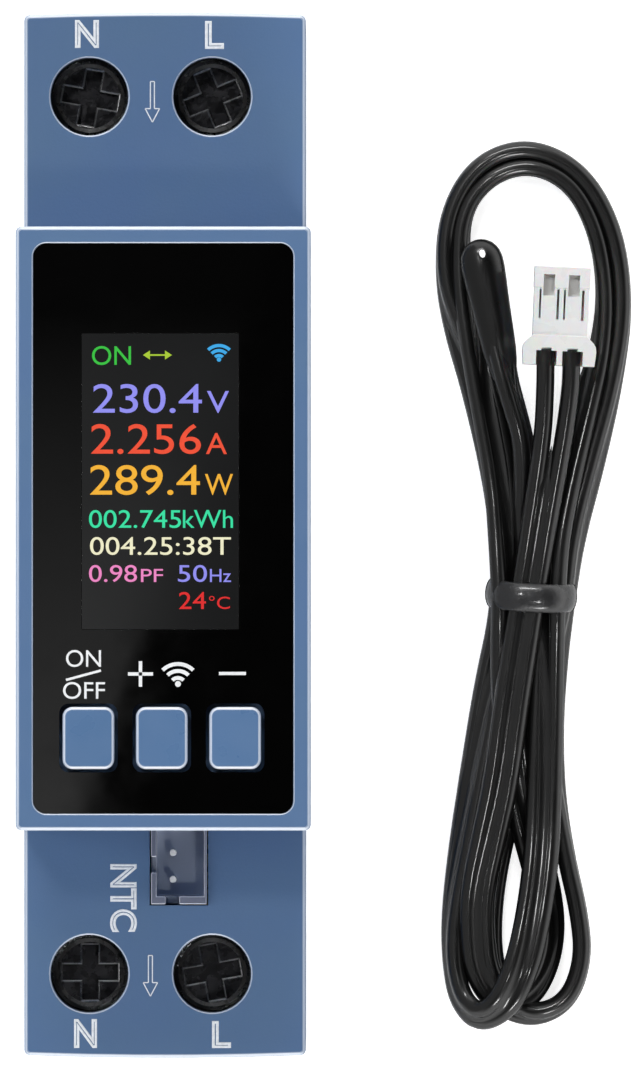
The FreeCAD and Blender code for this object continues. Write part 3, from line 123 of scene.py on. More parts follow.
def grainBump(tree, shader, place, grain, depth):
    texture = addNode(tree, "ShaderNodeTexNoise", {"Scale": perMetre(grain)}, {"Vector": place})
    setBump(tree, shader, texture.outputs["Fac"], 1.0, depth)


# the noise's detail, and its values that become the lowest and highest of the result
noiseRange = {"detail": 3.0, "low": 0.3, "high": 0.7}


def varied(tree, place, grain, low, high):
    # a value that wanders between low and high in patches of the grain's size
    noise = addNode(tree, "ShaderNodeTexNoise",
                    {"Scale": perMetre(grain), "Detail": noiseRange["detail"]}, {"Vector": place})
    return mapped(tree, noise.outputs["Fac"], noiseRange["low"], noiseRange["high"], low, high)


def mixedColour(tree, share, *colours):
    # two colours, each a hex value or the output of another node
    mix = addNode(tree, "ShaderNodeMix", {"data_type": "RGBA"}, {0: share})
    for socket, colour in zip((mix.inputs[6], mix.inputs[7]), colours):
        if isinstance(colour, str):
            socket.default_value = linearColour(colour)
        else:
            tree.links.new(colour, socket)
    return mix.outputs[2]


# Finishes

# painted highlight lines on rounded edges: the normal's upward share where such a line begins,
# is full, thins out again and ends, and what is left of it on the long sides, which face sideways
highlightRims = {"begins": 0.985, "full": 0.9, "thins": 0.4, "ends": 0.12, "sideways": 0.7, "onSides": 0.4}


def highlightShare(tree):
    # share of painted highlight: one on a face that rounds over, most towards the ends of the
    # case, and zero elsewhere
    normal = addNode(tree, "ShaderNodeNewGeometry").outputs["True Normal"]
    facing = addNode(tree, "ShaderNodeSeparateXYZ", links={"Vector": normal}).outputs
    leaving = mapped(tree, facing["Z"], highlightRims["begins"], highlightRims["full"], 0.0, 1.0)
    falling = mapped(tree, facing["Z"], highlightRims["ends"], highlightRims["thins"], 0.0, 1.0)
    sideways = mathNode(tree, "ABSOLUTE", facing["X"])
    endwise = mapped(tree, sideways, 0.0, highlightRims["sideways"], 1.0, highlightRims["onSides"])
    return mathNode(tree, "MULTIPLY", mathNode(tree, "MULTIPLY", leaving, falling), endwise)


# the colour with painted highlight lines mixed in on its rounded edges
def withPaintedHighlight(tree, tint, highlightColour):
    return mixedColour(tree, highlightShare(tree), tint, highlightColour) if highlightColour else tint


# sizes in mm of the patches in which tint and gloss wander
patches = {"plasticTint": 9, "plasticGloss": 2.5, "metalTint": 1.2, "metalGloss": 0.7}


def mouldedPlastic(name, colour, shade, grain, depth, roughness, spread=0.06, highlightColour=None,
                   **settings):
    finish, tree, shader, place = startFinish(name, colour, roughness, **settings)
    grainBump(tree, shader, place, grain, depth)
    cloud = varied(tree, place, patches["plasticTint"], 0, 1)
    tint = mixedColour(tree, cloud, colour, shade)
    # the randomly varied tone, with painted highlight lines on rounded edges where a highlight
    # colour is given
    tree.links.new(withPaintedHighlight(tree, tint, highlightColour), shader.inputs["Base Color"])
    gloss = varied(tree, place, patches["plasticGloss"], roughness - spread, roughness + spread)
    tree.links.new(gloss, shader.inputs["Roughness"])
    return finish


# ABS from a spark-eroded mould: satin, with grain of a fifth of a millimetre, and pale
# painted highlight lines on its rounded edges, where the lamps glint
blueAbs = mouldedPlastic("sparkErodedBlueAbs", "#4c6b95", "#4f6e93", grain=0.22, depth=0.012,
                         roughness=0.40, highlightColour="#e4ecf8")
# the same ABS, polished a little on the keys, with near-white painted highlight lines on their
# rounded edges
keyAbs = mouldedPlastic("satinBlueAbs", "#4d6e96", "#50719a", grain=0.3, depth=0.008,
                        roughness=0.32, highlightColour="#f4f8ff")
# back-printed polycarbonate: a deep gloss black with hardly a mark
panelGloss = mouldedPlastic("glossBlackPolycarbonate", "#010101", "#020202", grain=6,
                            depth=0.001, roughness=0.05, spread=0.02)
# black glass-filled polyamide round the terminals: half dull, slightly pitted
blackNylon = mouldedPlastic("glassFilledBlackPolyamide", "#070708", "#0b0b0d", grain=0.3,
                            depth=0.012, roughness=0.3)

# levels where the painted light down the socket's well begins to pale its grey and where it is
# palest
paintedWellLight = {"from": 44.2, "to": 40.2}


def socketFinish():
    # slate grey nylon, painted paler down the well to stand for the light that reaches its floor
    finish, tree, shader, place = startFinish("slateGreyNylon", "#4d5263", roughness=0.34)
    height = addNode(tree, "ShaderNodeSeparateXYZ", links={"Vector": place}).outputs["Z"]
    # painted light: the grey pales from the mouth down to the floor
    depth = mapped(tree, height, paintedWellLight["from"] * mm, paintedWellLight["to"] * mm, 0.0, 1.0)
    tint = mixedColour(tree, depth, "#666c7f", "#c4cee2")
    # with painted highlight lines on the rounded edges of the walls
    tree.links.new(withPaintedHighlight(tree, tint, "#eef3ff"), shader.inputs["Base Color"])
    grainBump(tree, shader, place, grain=0.3, depth=0.01)
    tree.links.new(varied(tree, place, grain=1.5, low=0.28, high=0.4),
                   shader.inputs["Roughness"])
    return finish


greyNylon = socketFinish()
# white polycarbonate of the light box: matt, so that it spreads light
whiteFrame = mouldedPlastic("whitePolycarbonate", "#dcdcd8", "#e4e4e0", grain=0.5, depth=0.01,
                            roughness=0.5)
# plug moulded of natural nylon: milky, with light in its depth
plugNylon = mouldedPlastic("naturalNylon", "#f6f4f0", "#fbfaf6", grain=0.6, depth=0.004,
                           roughness=0.28, Subsurface_Weight=0.35, Subsurface_Scale=0.6 * mm)
# soft black PVC of the lead: drawn smooth, with a faint waviness
leadPvc = mouldedPlastic("drawnBlackPvc", "#080808", "#0e0e0e", grain=0.9, depth=0.007,
                         roughness=0.34, spread=0.05, Specular_IOR_Level=0.4, Coat_Weight=0.7,
                         Coat_Roughness=0.11)
# probe head moulded of black PVC: glossier than the lead
probePvc = mouldedPlastic("glossyBlackPvc", "#080808", "#0d0d0d", grain=1.6, depth=0.008,
                          roughness=0.3, spread=0.04, Specular_IOR_Level=0.4, Coat_Weight=0.5,
                          Coat_Roughness=0.1)
# vulcanised rubber of the ring, with a skin that wrinkles
tieRubber = mouldedPlastic("vulcanisedRubber", "#202021", "#29292a", grain=0.45, depth=0.04,
                           roughness=0.3, Coat_Weight=0.7, Coat_Roughness=0.14)
# PBT case of the relay: black and half dull
relayCase = mouldedPlastic("blackPbt", "#15161a", "#1b1c20", grain=0.4, depth=0.01,
                           roughness=0.4)
# heat-shrunk sleeve of the capacitor: dark blue, tight and shiny
canSleeve = mouldedPlastic("shrunkSleeve", "#1c2a5a", "#223066", grain=2, depth=0.02,
                           roughness=0.25)
# dipped epoxy of the varistor: bright blue, with the waves of the dip
varistorCoat = mouldedPlastic("dippedBlueEpoxy", "#23539c", "#2a5da8", grain=1.2, depth=0.05,
                              roughness=0.3)
# sintered bead in its drop of glass: brown and shiny
beadGlass = mouldedPlastic("beadGlass", "#6a4326", "#7c5030", grain=0.4, depth=0.01,
                           roughness=0.12)
# tin of the plug's contacts and the socket's pins as a pale non-metal without glints: its
# brightness is painted reflection of bright tin
paintedBrightTin = mouldedPlastic("paintedBrightTin", "#ececec", "#f6f6f6", grain=0.4, depth=0.02, roughness=0.35)


def metal(name, colour, shade, grain, depth, roughness, spread, highlightColour=None, highlightMetal=0.1):
    finish, tree, shader, place = startFinish(name, colour, roughness, Metallic=1.0)
    grainBump(tree, shader, place, grain, depth)
    blotch = varied(tree, place, patches["metalTint"], 0, 1)
    # the blotched colour, with painted highlight lines on rounded edges where a highlight colour
    # is given, mostly not metal so that they stay pale
    tint = withPaintedHighlight(tree, mixedColour(tree, blotch, colour, shade), highlightColour)
    tree.links.new(tint, shader.inputs["Base Color"])
    if highlightColour:
        tree.links.new(mapped(tree, highlightShare(tree), 0.0, 1.0, 1.0, highlightMetal),
                       shader.inputs["Metallic"])
    gloss = varied(tree, place, patches["metalGloss"], roughness - spread, roughness + spread)
    tree.links.new(gloss, shader.inputs["Roughness"])
    return finish


# steel blackened in hot salts, its edges worn round by the driver painted white: partly bare
# steel, partly painted glints
blackSteel = metal("blackOxideSteel", "#2c2c2f", "#38383a", grain=0.35, depth=0.02,
                   roughness=0.28, spread=0.1, highlightColour="#ffffff")
# bright zinc on pressed steel: cool grey, faintly spangled
zincSteel = metal("zincPlatedSteel", "#b6b9bd", "#c6c9cc", grain=0.5, depth=0.01, roughness=0.3,
                  spread=0.1)
# rolled brass bars: warm yellow, with the sheen of the rolls
rolledBrass = metal("rolledBrass", "#c9a24e", "#d2ac5c", grain=0.6, depth=0.008, roughness=0.28,
                    spread=0.08)
# tinned shield of the wireless module: pale and soft
tinPlate = metal("tinPlate", "#c3c4c4", "#d0d1d0", grain=0.7, depth=0.01, roughness=0.3,
                 spread=0.1)
# spring wire, drawn bright
springSteel = metal("drawnSpringWire", "#8f9296", "#a2a5a8", grain=0.25, depth=0.008,
                    roughness=0.25, spread=0.06)


def boardFinish():
    # solder mask over copper: green, with lighter tracks under the lacquer
    finish, tree, shader, place = startFinish("greenSolderMask", "#0d4a2c", roughness=0.3)
    tracks = addNode(tree, "ShaderNodeTexBrick",
                     {"Scale": perMetre(4), "Mortar Size": 0.06, "Color1": linearColour("#0c4529"),
                      "Color2": linearColour("#0f4f30"), "Mortar": linearColour("#1d7347")},
                     {"Vector": place})
    tree.links.new(tracks.outputs["Color"], shader.inputs["Base Color"])
    setBump(tree, shader, tracks.outputs["Fac"], strength=0.6, depth=0.03)
    return finish


def displayFinish():
    # liquid crystal behind bonded glass: a dark face that never goes quite black
    finish, tree, shader, place = startFinish("litLiquidCrystal", "#08090a", roughness=0.08)
    shader.inputs["Emission Color"].default_value = linearColour("#181818")
    tree.links.new(varied(tree, place, grain=14, low=0.75, high=1.1),
                   shader.inputs["Emission Strength"])
    grainBump(tree, shader, place, grain=3, depth=0.001)
    return finish


def printedInk(name, colour, shade):
    # pad-printed ink: flat, thin, a little uneven
    finish, tree, shader, place = startFinish(name, colour, roughness=0.5)
    thin = varied(tree, place, grain=0.3, low=0, high=1)
    tree.links.new(mixedColour(tree, thin, colour, shade), shader.inputs["Base Color"])
    grainBump(tree, shader, place, grain=0.2, depth=0.004)
    return finish


def litPixels(name, colour):
    # lit pixels of the display: light of one colour, a little uneven
    finish, tree, shader, place = startFinish(name, "#050505", roughness=0.3)
    shader.inputs["Emission Color"].default_value = linearColour(colour)
    tree.links.new(varied(tree, place, grain=0.35, low=0.94, high=1.04),
                   shader.inputs["Emission Strength"])
    return finish


boardGreen = boardFinish()
displayFace = displayFinish()
whiteInk = printedInk("whitePadPrint", "#eef0f2", "#dddfe1")
markInk = printedInk("paleMark", "#f4f8fe", "#e2e6ec")

nodeFinishes = {
    "rear_base": blueAbs, "main_housing": blueAbs, "front_cover": blueAbs,
    "display_panel": panelGloss, "display_glass": displayFace, "display_frame": whiteFrame,
    "key_on_off": keyAbs, "key_minus": keyAbs, "key_plus": keyAbs,
    "plunger_on_off": whiteFrame, "plunger_minus": whiteFrame, "plunger_plus": whiteFrame,
    "switch_bodies": blackNylon, "front_board": boardGreen, "main_board": boardGreen,
    "front_board_screws": zincSteel, "wireless_module": tinPlate, "board_link": blackNylon,
    "power_relay": relayCase, "current_transformer": blackNylon,
    "smoothing_capacitor": canSleeve, "surge_varistor": varistorCoat,
    "top_terminal_block": blackNylon, "bottom_terminal_block": blackNylon,
    "neutral_bar": rolledBrass, "line_in_bar": rolledBrass, "line_out_bar": rolledBrass,
    "ntc_socket": greyNylon, "ntc_socket_pins": paintedBrightTin,
    "rail_clip": blackNylon, "clip_spring": springSteel,
    "ntc_plug_contacts": paintedBrightTin, "thermistor_bead": beadGlass,
}
for end in ("top", "bottom"):
    for pole in ("neutral", "line"):
        nodeFinishes[f"{end}_{pole}_screw"] = blackSteel
        nodeFinishes[f"{end}_{pole}_cage"] = zincSteel
for name, finish in nodeFinishes.items():
    for slot in nodes[name].material_slots:
        slot.material = finish
print("finishes ready")


# Making pieces

# corners nearer than this, in metres, become one
weldReach = 1e-7


def partsOf(geometry, kind):
    return [part for part in geometry if isinstance(part, kind)]


def linkedObject(name, data):
    thing = bpy.data.objects.new(name, data)
    scene.collection.objects.link(thing)
    return thing


def keptPiece(name, mesh, finish, body, smooth=False):
    piece = linkedObject(name, mesh)
    mesh.materials.clear()
    mesh.materials.append(finish)
    for face in mesh.polygons:
        face.use_smooth = smooth
    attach(piece, body)
    return piece


def meshFrom(name, work):
    mesh = bpy.data.meshes.new(name)
    work.to_mesh(mesh)
    work.free()
    return mesh


def evaluatedMesh(name, holder):
    # what Blender makes of an object, which isn't needed afterwards
    view = bpy.context.evaluated_depsgraph_get()
    view.update()
    mesh = bpy.data.meshes.new_from_object(holder.evaluated_get(view))
    mesh.name = name
    bpy.data.objects.remove(holder)
    return mesh


def boxesMesh(name, boxes):
    # blocks given as low x, high x, low y, high y, low z, high z in mm
    work = bmesh.new()
    for lowX, highX, lowY, highY, lowZ, highZ in boxes:
        place = Matrix.Translation(((lowX + highX) / 2, (lowY + highY) / 2, (lowZ + highZ) / 2))
        size = Matrix.Diagonal((highX - lowX, highY - lowY, highZ - lowZ, 1))
        bmesh.ops.create_cube(work, size=1, matrix=place @ size)
    return meshFrom(name, work)


def raisedMesh(name, layers):
    # outlines raised to blocks: corners, low level and height in mm
    work = bmesh.new()
    for corners, low, height in layers:
        base = work.faces.new([work.verts.new((x, y, low)) for x, y in corners])
        raised = bmesh.ops.extrude_face_region(work, geom=[base])["geom"]
        top = partsOf(raised, bmesh.types.BMVert)
        bmesh.ops.translate(work, verts=top, vec=(0, 0, height))
    bmesh.ops.recalc_face_normals(work, faces=work.faces)
    return meshFrom(name, work)


# segments of a cut piece's rounded edges, and the least angle of an edge that is rounded
cutEdges = {"segments": 3, "sharpAngle": 30}


def cutMesh(name, solid, tool, rounding, turn=0.0, end=(0, 0, 0)):
    # one mesh cut by another, its edges rounded, turned and moved into place
    holder = linkedObject(name, solid)
    cutter = linkedObject(f"{name}_cutter", tool)
    cut = holder.modifiers.new("cut", "BOOLEAN")
    cut.object = cutter
    cut.solver = "EXACT"
    cut.use_self = True
    edge = holder.modifiers.new("edge", "BEVEL")
    edge.width = rounding
    edge.segments = cutEdges["segments"]
    edge.limit_method = "ANGLE"
    edge.angle_limit = math.radians(cutEdges["sharpAngle"])
    mesh = evaluatedMesh(name, holder)
    bpy.data.objects.remove(cutter)
    mesh.transform(Matrix.Scale(mm, 4) @ Matrix.Translation(end)
                   @ Matrix.Rotation(math.radians(turn), 4, "Z"))
    return mesh


# Screws, whose recess is worn round by the driver

# width of the worn round, and which edges are worn: sharper than the angle, this near the top
recess = {"wear": 0.13, "segments": 3, "sharpAngle": 80, "topWithin": 0.01}


def wornMesh(name, thing):
    work = bmesh.new()
    work.from_mesh(thing.data)
    work.transform(thing.matrix_world)
    bmesh.ops.remove_doubles(work, verts=work.verts, dist=weldReach)
    top = max(vertex.co.z for vertex in work.verts) - recess["topWithin"] * mm
    sharp = [edge for edge in work.edges
             if edge.calc_face_angle(0) > math.radians(recess["sharpAngle"])
             and all(vertex.co.z > top for vertex in edge.verts)]
    bmesh.ops.bevel(work, geom=sharp, offset=recess["wear"] * mm, affect="EDGES",
                    segments=recess["segments"], profile=0.5, material=-1, clamp_overlap=True)
    return meshFrom(name, work)


for end in ("top", "bottom"):
    for pole in ("neutral", "line"):
        screwName = f"{end}_{pole}_screw"
        wornName = f"{screwName}_worn"
        screwPiece = keptPiece(wornName, wornMesh(wornName, nodes[screwName]), blackSteel,
                               screwName)
        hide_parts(screwName)
print("screws ready")


# Lead: its route is read from the photograph, pass by pass

lead = {
    "coreWidth": 1.4,
    # the web between the cores, hollow on both faces, across and up: whole up to a half pitch
    # of webUpTo, and a thread of webLeast from webGoneAt on, where the cores part
    "web": [(0.55, 0.66), (0.38, 0.60), (0.20, 0.53), (0.0, 0.505), (-0.20, 0.53), (-0.38, 0.60),
            (-0.55, 0.66), (-0.55, -0.66), (-0.38, -0.60), (-0.20, -0.53), (0.0, -0.505),
            (0.20, -0.53), (0.38, -0.60), (0.55, -0.66)],
    "webUpTo": 0.74, "webGoneAt": 0.8, "webLeast": 0.01, "leastHalf": 0.45,
    # length in metres, points of the route to each station, facets round a core
    "length": 0.39, "steps": 10, "facets": 16,
    # across, along and above the table in mm, the roll of the two cores, half their pitch
    "fromPlug": [
        (30.15, 14.35, 5.60, 0, 1.00), (30.10, 13.10, 5.60, 0, 1.00),
        (30.07, 11.40, 5.55, 0, 0.98), (29.72, 7.60, 5.20, 0, 0.80),
        (28.75, 1.60, 4.60, 0, 0.71), (27.92, -3.60, 4.10, 0, 0.71), (27.30, -7.60, 4.05, 0, 0.71),
        (26.45, -13.00, 3.85, 0, 0.71), (25.70, -19.00, 3.40, 0, 0.71),
        (24.65, -23.80, 3.05, 4, 0.71), (23.85, -27.60, 2.75, 8, 0.71)],
    "shortBend": [
        (23.80, -30.60, 2.60, 10, 0.72), (24.15, -33.80, 2.45, 12, 0.72),
        (25.60, -36.05, 2.35, 15, 0.72), (27.70, -35.70, 2.10, 30, 0.72),
        (29.20, -33.10, 1.70, 45, 0.72), (29.60, -29.60, 1.25, 45, 0.72)],
    "shortLegUp": [
        (28.45, -25.00, 0.95, 15, 0.72), (27.35, -20.80, 1.70, 5, 0.72),
        (26.55, -16.00, 2.30, 8, 0.72), (26.10, -10.50, 2.80, 28, 0.72),
        (26.00, -5.20, 3.30, 56, 0.72), (25.98, -1.20, 3.10, 38, 0.72)],
    "innerLoop": [
        (25.75, 4.40, 2.45, 10, 0.72), (24.60, 10.40, 2.35, 10, 0.72),
        (23.45, 16.00, 1.95, 45, 0.72), (22.55, 20.60, 1.50, 78, 0.72),
        (22.65, 25.00, 1.42, 90, 0.72), (24.75, 27.80, 1.42, 90, 0.72),
        (28.00, 28.80, 1.42, 90, 0.72), (31.25, 27.25, 1.42, 90, 0.72),
        (33.20, 23.45, 1.42, 90, 0.72), (33.87, 18.80, 1.45, 88, 0.72),
        (33.42, 14.20, 1.60, 74, 0.72)],
    "longLegDown": [
        (32.05, 9.60, 2.05, 48, 0.72), (30.60, 4.20, 2.75, 32, 0.72),
        (29.70, -0.60, 3.25, 40, 0.72), (29.55, -5.20, 3.30, 50, 0.72),
        (29.25, -9.20, 3.15, 20, 0.72), (29.12, -15.00, 2.95, 2, 0.72),
        (29.00, -20.60, 2.95, 0, 0.72), (28.80, -25.00, 3.45, 0, 0.72)],
    "leftBend": [
        (28.25, -29.20, 4.15, 0, 0.72), (27.35, -33.30, 4.55, -8, 0.72),
        (25.95, -36.30, 4.10, -22, 0.72), (24.00, -37.45, 3.10, -45, 0.72),
        (22.55, -36.00, 2.05, -70, 0.72), (21.95, -33.20, 1.45, -80, 0.72)],
    "leftLegUp": [
        (21.95, -29.60, 1.40, -72, 0.72), (22.75, -24.20, 1.30, -52, 0.72),
        (23.85, -17.80, 1.20, -40, 0.72), (24.95, -11.60, 1.05, -25, 0.72),
        (26.20, -6.20, 1.45, -8, 0.72), (26.35, -1.40, 1.15, -2, 0.72)],
    "outerLoop": [
        (25.75, 4.00, 0.84, -8, 0.72), (24.05, 11.20, 0.98, -20, 0.72),
        (22.30, 15.90, 1.36, -60, 0.72), (21.25, 20.00, 1.42, -88, 0.72),
        (21.55, 25.00, 1.42, -90, 0.72), (23.90, 28.90, 1.42, -90, 0.72),
        (27.90, 30.20, 1.42, -90, 0.72), (32.00, 28.20, 1.42, -90, 0.72),
        (34.55, 23.60, 1.42, -90, 0.72), (35.28, 17.80, 1.42, -88, 0.72)],
    "rightLegDown": [
        (34.40, 11.80, 1.42, -82, 0.72), (32.85, 5.60, 1.55, -68, 0.72),
        (31.30, -0.20, 1.95, -70, 0.72), (30.68, -5.00, 2.10, -82, 0.72),
        (29.85, -9.60, 1.70, -60, 0.72), (29.50, -14.80, 1.35, -60, 0.72),
        (29.90, -20.00, 1.42, -82, 0.72), (30.75, -25.00, 1.42, -88, 0.72)],
    "rightBend": [
        (31.75, -29.20, 1.42, -88, 0.72), (32.10, -32.80, 1.42, -88, 0.72),
        (30.95, -36.10, 1.42, -84, 0.72), (28.30, -37.35, 1.41, -72, 0.72),
        (25.80, -36.10, 1.10, -30, 0.72), (24.60, -33.60, 0.88, -12, 0.72)],
    "toHead": [
        (24.35, -30.20, 0.88, -12, 0.72), (24.85, -25.60, 0.88, -12, 0.72),
        (26.35, -19.60, 0.80, -6, 0.72), (27.20, -13.60, 0.95, 15, 0.72),
        (27.95, -8.20, 1.85, 50, 0.72), (28.10, -3.60, 2.15, 55, 0.72),
        (27.80, 0.80, 2.45, 35, 0.72), (27.68, 4.60, 3.20, 62, 0.72),
        (27.38, 7.60, 3.70, 76, 0.72), (26.72, 9.90, 3.95, 72, 0.72),
        (26.12, 12.00, 4.10, 66, 0.60), (25.70, 14.20, 4.10, 40, 0.50),
        (25.30, 16.20, 4.10, 20, 0.48)],
}


def curveThrough(name, places, kind):
    curve = bpy.data.curves.new(name, "CURVE")
    curve.dimensions = "3D"
    spline = curve.splines.new(kind)
    spline.points.add(len(places) - 1)
    for point, place in zip(spline.points, places):
        point.co = (*place, 1.0)
    return curve


def smoothRoute(name, places):
    curve = curveThrough(name, places, "NURBS")
    curve.splines[0].order_u = 3
    curve.splines[0].use_endpoint_u = True
    curve.resolution_u = lead["steps"]
    mesh = evaluatedMesh(name, linkedObject(name, curve))
    route = [vertex.co.copy() for vertex in mesh.vertices]
    bpy.data.meshes.remove(mesh)
    return route


def strandMesh(name, places):
    curve = curveThrough(name, places, "POLY")
    curve.bevel_depth = lead["coreWidth"] * mm / 2
    curve.bevel_resolution = lead["facets"] // 4 - 1
    curve.use_fill_caps = True
    return evaluatedMesh(name, linkedObject(name, curve))


def webMesh(name, outlines):
    work = bmesh.new()
    rings = [[work.verts.new(corner) for corner in outline] for outline in outlines]
    for ring, following in zip(rings, rings[1:]):
        for corner in range(len(ring)):
            work.faces.new((ring[corner - 1], ring[corner], following[corner],
                            following[corner - 1]))
    work.faces.new(rings[0])
    work.faces.new(list(reversed(rings[-1])))
    return meshFrom(name, work)


def joinedMesh(name, meshes):
    work = bmesh.new()
    for mesh in meshes:
        work.from_mesh(mesh)
    bmesh.ops.remove_doubles(work, verts=work.verts, dist=weldReach)
    bmesh.ops.recalc_face_normals(work, faces=work.faces)
    return meshFrom(name, work)


def wayAt(places, number):
    return places[min(number + 1, len(places) - 1)] - places[max(number - 1, 0)]


def makeLead():
    passes = ("fromPlug", "shortBend", "shortLegUp", "innerLoop", "longLegDown", "leftBend",
              "leftLegUp", "outerLoop", "rightLegDown", "rightBend", "toHead")
    stations = [station for name in passes for station in lead[name]]
    middles = [Vector(station[:3]) * mm for station in stations]
    sides = []
    for number, (*_, roll, half) in enumerate(stations):
        way = wayAt(middles, number)
        left = Vector((-way.y, way.x, 0)).normalized()
        angle = math.radians(roll)
        side = left * math.cos(angle) + Vector((0, 0, math.sin(angle)))
        sides.append(middles[number] + side * half * mm)
    route = smoothRoute("lead_route", middles)
    guide = smoothRoute("lead_guide", sides)
    strands = ([], [])
    outlines = []
    for number, (middle, beside) in enumerate(zip(route, guide)):
        way = wayAt(route, number).normalized()
        offset = beside - middle
        offset -= way * offset.dot(way)
        half = max(offset.length, lead["leastHalf"] * mm)
        aside = offset.normalized()
        strands[0].append(middle + aside * half)
        strands[1].append(middle - aside * half)
        parted = (half / mm - lead["webUpTo"]) / (lead["webGoneAt"] - lead["webUpTo"])
        share = min(max(1 - parted, lead["webLeast"]), 1) * mm
        outlines.append([middle + (aside * across + way.cross(aside) * up) * share
                         for across, up in lead["web"]])
    meshes = [strandMesh(f"strand_{number}", places) for number, places in enumerate(strands)]
    meshes.append(webMesh("web", outlines))
    return joinedMesh("lead_twin", meshes), route


leadMesh, leadRoute = makeLead()
leadPiece = keptPiece("lead_twin", leadMesh, leadPvc, "temperature_lead", True)
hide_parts("ntc_lead")
print("lead ready:", len(leadMesh.polygons), "faces,",
      round(sum((b - a).length for a, b in zip(leadRoute, leadRoute[1:])) / mm, 1), "mm")


# Rubber ring, in mm and degrees; lean is its shift along the lead per mm of height

ring = {"middle": (28.02, -4.62, 2.72), "width": 7.15, "height": 5.42, "wall": 1.0,
        "length": 2.25, "tilt": -3.4, "lean": 0.1, "corner": 2.45, "segments": 20,
        "cornerSteps": 7, "weld": 1e-3}


def ringMesh():
    # a round-edged band: an ellipse of the wall and length swept round the bundle
    work = bmesh.new()
    wide = (ring["width"] - ring["wall"]) / 2
    high = (ring["height"] - ring["wall"]) / 2
    flatX = wide - ring["corner"]
    flatZ = high - ring["corner"]
    section = bmesh.ops.create_circle(work, segments=ring["segments"], radius=0.5)["verts"]
    bmesh.ops.scale(work, verts=section, vec=(ring["wall"], ring["length"], 1))
    bmesh.ops.translate(work, verts=section, vec=(wide, 0, flatZ))
    edges = work.edges[:]
    # each corner's centre, and the straight that follows it
    for x, z, onX, onZ in [(flatX, flatZ, -2 * flatX, 0), (-flatX, flatZ, 0, -2 * flatZ),
                           (-flatX, -flatZ, 2 * flatX, 0), (flatX, -flatZ, 0, 2 * flatZ)]:
        turned = bmesh.ops.spin(work, geom=edges, cent=(x, 0, z), axis=(0, -1, 0),
                                angle=math.pi / 2, steps=ring["cornerSteps"],
                                use_duplicate=False)
        edges = partsOf(turned["geom_last"], bmesh.types.BMEdge)
        out = bmesh.ops.extrude_edge_only(work, edges=edges)["geom"]
        moved = partsOf(out, bmesh.types.BMVert)
        bmesh.ops.translate(work, verts=moved, vec=(onX, 0, onZ))
        edges = [edge for edge in partsOf(out, bmesh.types.BMEdge)
                 if all(vertex in moved for vertex in edge.verts)]
    bmesh.ops.remove_doubles(work, verts=work.verts, dist=ring["weld"])
    bmesh.ops.recalc_face_normals(work, faces=work.faces)
    for vertex in work.verts:
        vertex.co.y -= ring["lean"] * vertex.co.z
    bmesh.ops.rotate(work, verts=work.verts,
                     matrix=Matrix.Rotation(math.radians(ring["tilt"]), 3, "Z"))
    bmesh.ops.translate(work, verts=work.verts, vec=ring["middle"])
    bmesh.ops.scale(work, verts=work.verts, vec=(mm, mm, mm))
    return meshFrom("rubber_ring", work)


tiePiece = keptPiece("rubber_ring", ringMesh(), tieRubber, "temperature_lead", True)
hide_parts("hank_tie")
print("ring ready")


# Plug, in mm and degrees from the end where the cores go in

plug = {
    "end": (30.1, 13.1, 5.6), "tilt": -2.5, "rounding": 0.07,
    # outline, low level and height of each layer
    "collar": ([(-2.75, 0.0), (2.75, 0.0), (2.85, 1.1), (2.8, 1.5), (2.62, 1.8), (2.1, 2.3),
                (-2.1, 2.3), (-2.62, 1.8), (-2.8, 1.5), (-2.85, 1.1)], -2.25, 4.5),
    "nose": ([(-2.13, 2.0), (2.13, 2.0), (2.13, 7.5), (-2.13, 7.5)], -2.0, 4.0),
    "brow": ([(-2.175, 6.0), (2.175, 6.0), (2.175, 7.6), (-2.175, 7.6)], -2.1, 4.2),
    # windows over the contacts, slits beside them, and the cores' troughs with their ends
    "windows": [(-1.43, -0.58, 5.35, 7.0, 0.3, 3), (0.5, 1.35, 5.35, 7.0, 0.3, 3)],
    "slits": [(-1.72, -1.57, 3.6, 5.85, 0.6, 3), (-0.36, -0.18, 3.55, 5.85, 0.6, 3),
              (0.17, 0.31, 3.55, 5.85, 0.6, 3), (1.56, 1.75, 3.5, 5.85, 0.6, 3)],
    "troughs": [(-1.78, -0.2, -1, 1.12, -0.75, 3), (0.24, 1.82, -1, 1.12, -0.75, 3),
                (-1.4, -0.6, -1, 1.34, -0.72, 3.1), (0.62, 1.42, -1, 1.34, -0.72, 3.1)],
}
plugSolid = raisedMesh("plug_solid", [plug["collar"], plug["nose"], plug["brow"]])
plugCuts = boxesMesh("plug_cuts", plug["windows"] + plug["slits"] + plug["troughs"])
plugMesh = cutMesh("plug_moulding", plugSolid, plugCuts, plug["rounding"], plug["tilt"],
                   plug["end"])
plugPiece = keptPiece("plug_moulding", plugMesh, plugNylon, "temperature_lead")
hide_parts("ntc_plug")
print("plug ready:", len(plugMesh.polygons), "faces")


# Socket, in mm on the case

socket = {
    "rounding": 0.08,
    "body": [(-1.05, 3.15, -27.8, -22.1, 38.5, 44.5)],
    # the well, a notch in its left wall and a gap through both end walls
    "cuts": [(-0.62, 2.94, -27.2, -22.26, 40.0, 45), (-1.3, -0.3, -25.41, -24.22, 42.3, 46),
             (0.06, 1.07, -28, -21.9, 41.9, 45.5)],
}
socketMesh = cutMesh("pin_socket", boxesMesh("socket_solid", socket["body"]),
                     boxesMesh("socket_cuts", socket["cuts"]), socket["rounding"])
socketPiece = keptPiece("pin_socket", socketMesh, greyNylon, "case")
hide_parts("ntc_socket")
print("socket ready:", len(socketMesh.polygons), "faces")


# Probe head, in mm and degrees from its neck; flat is its thickness over its width

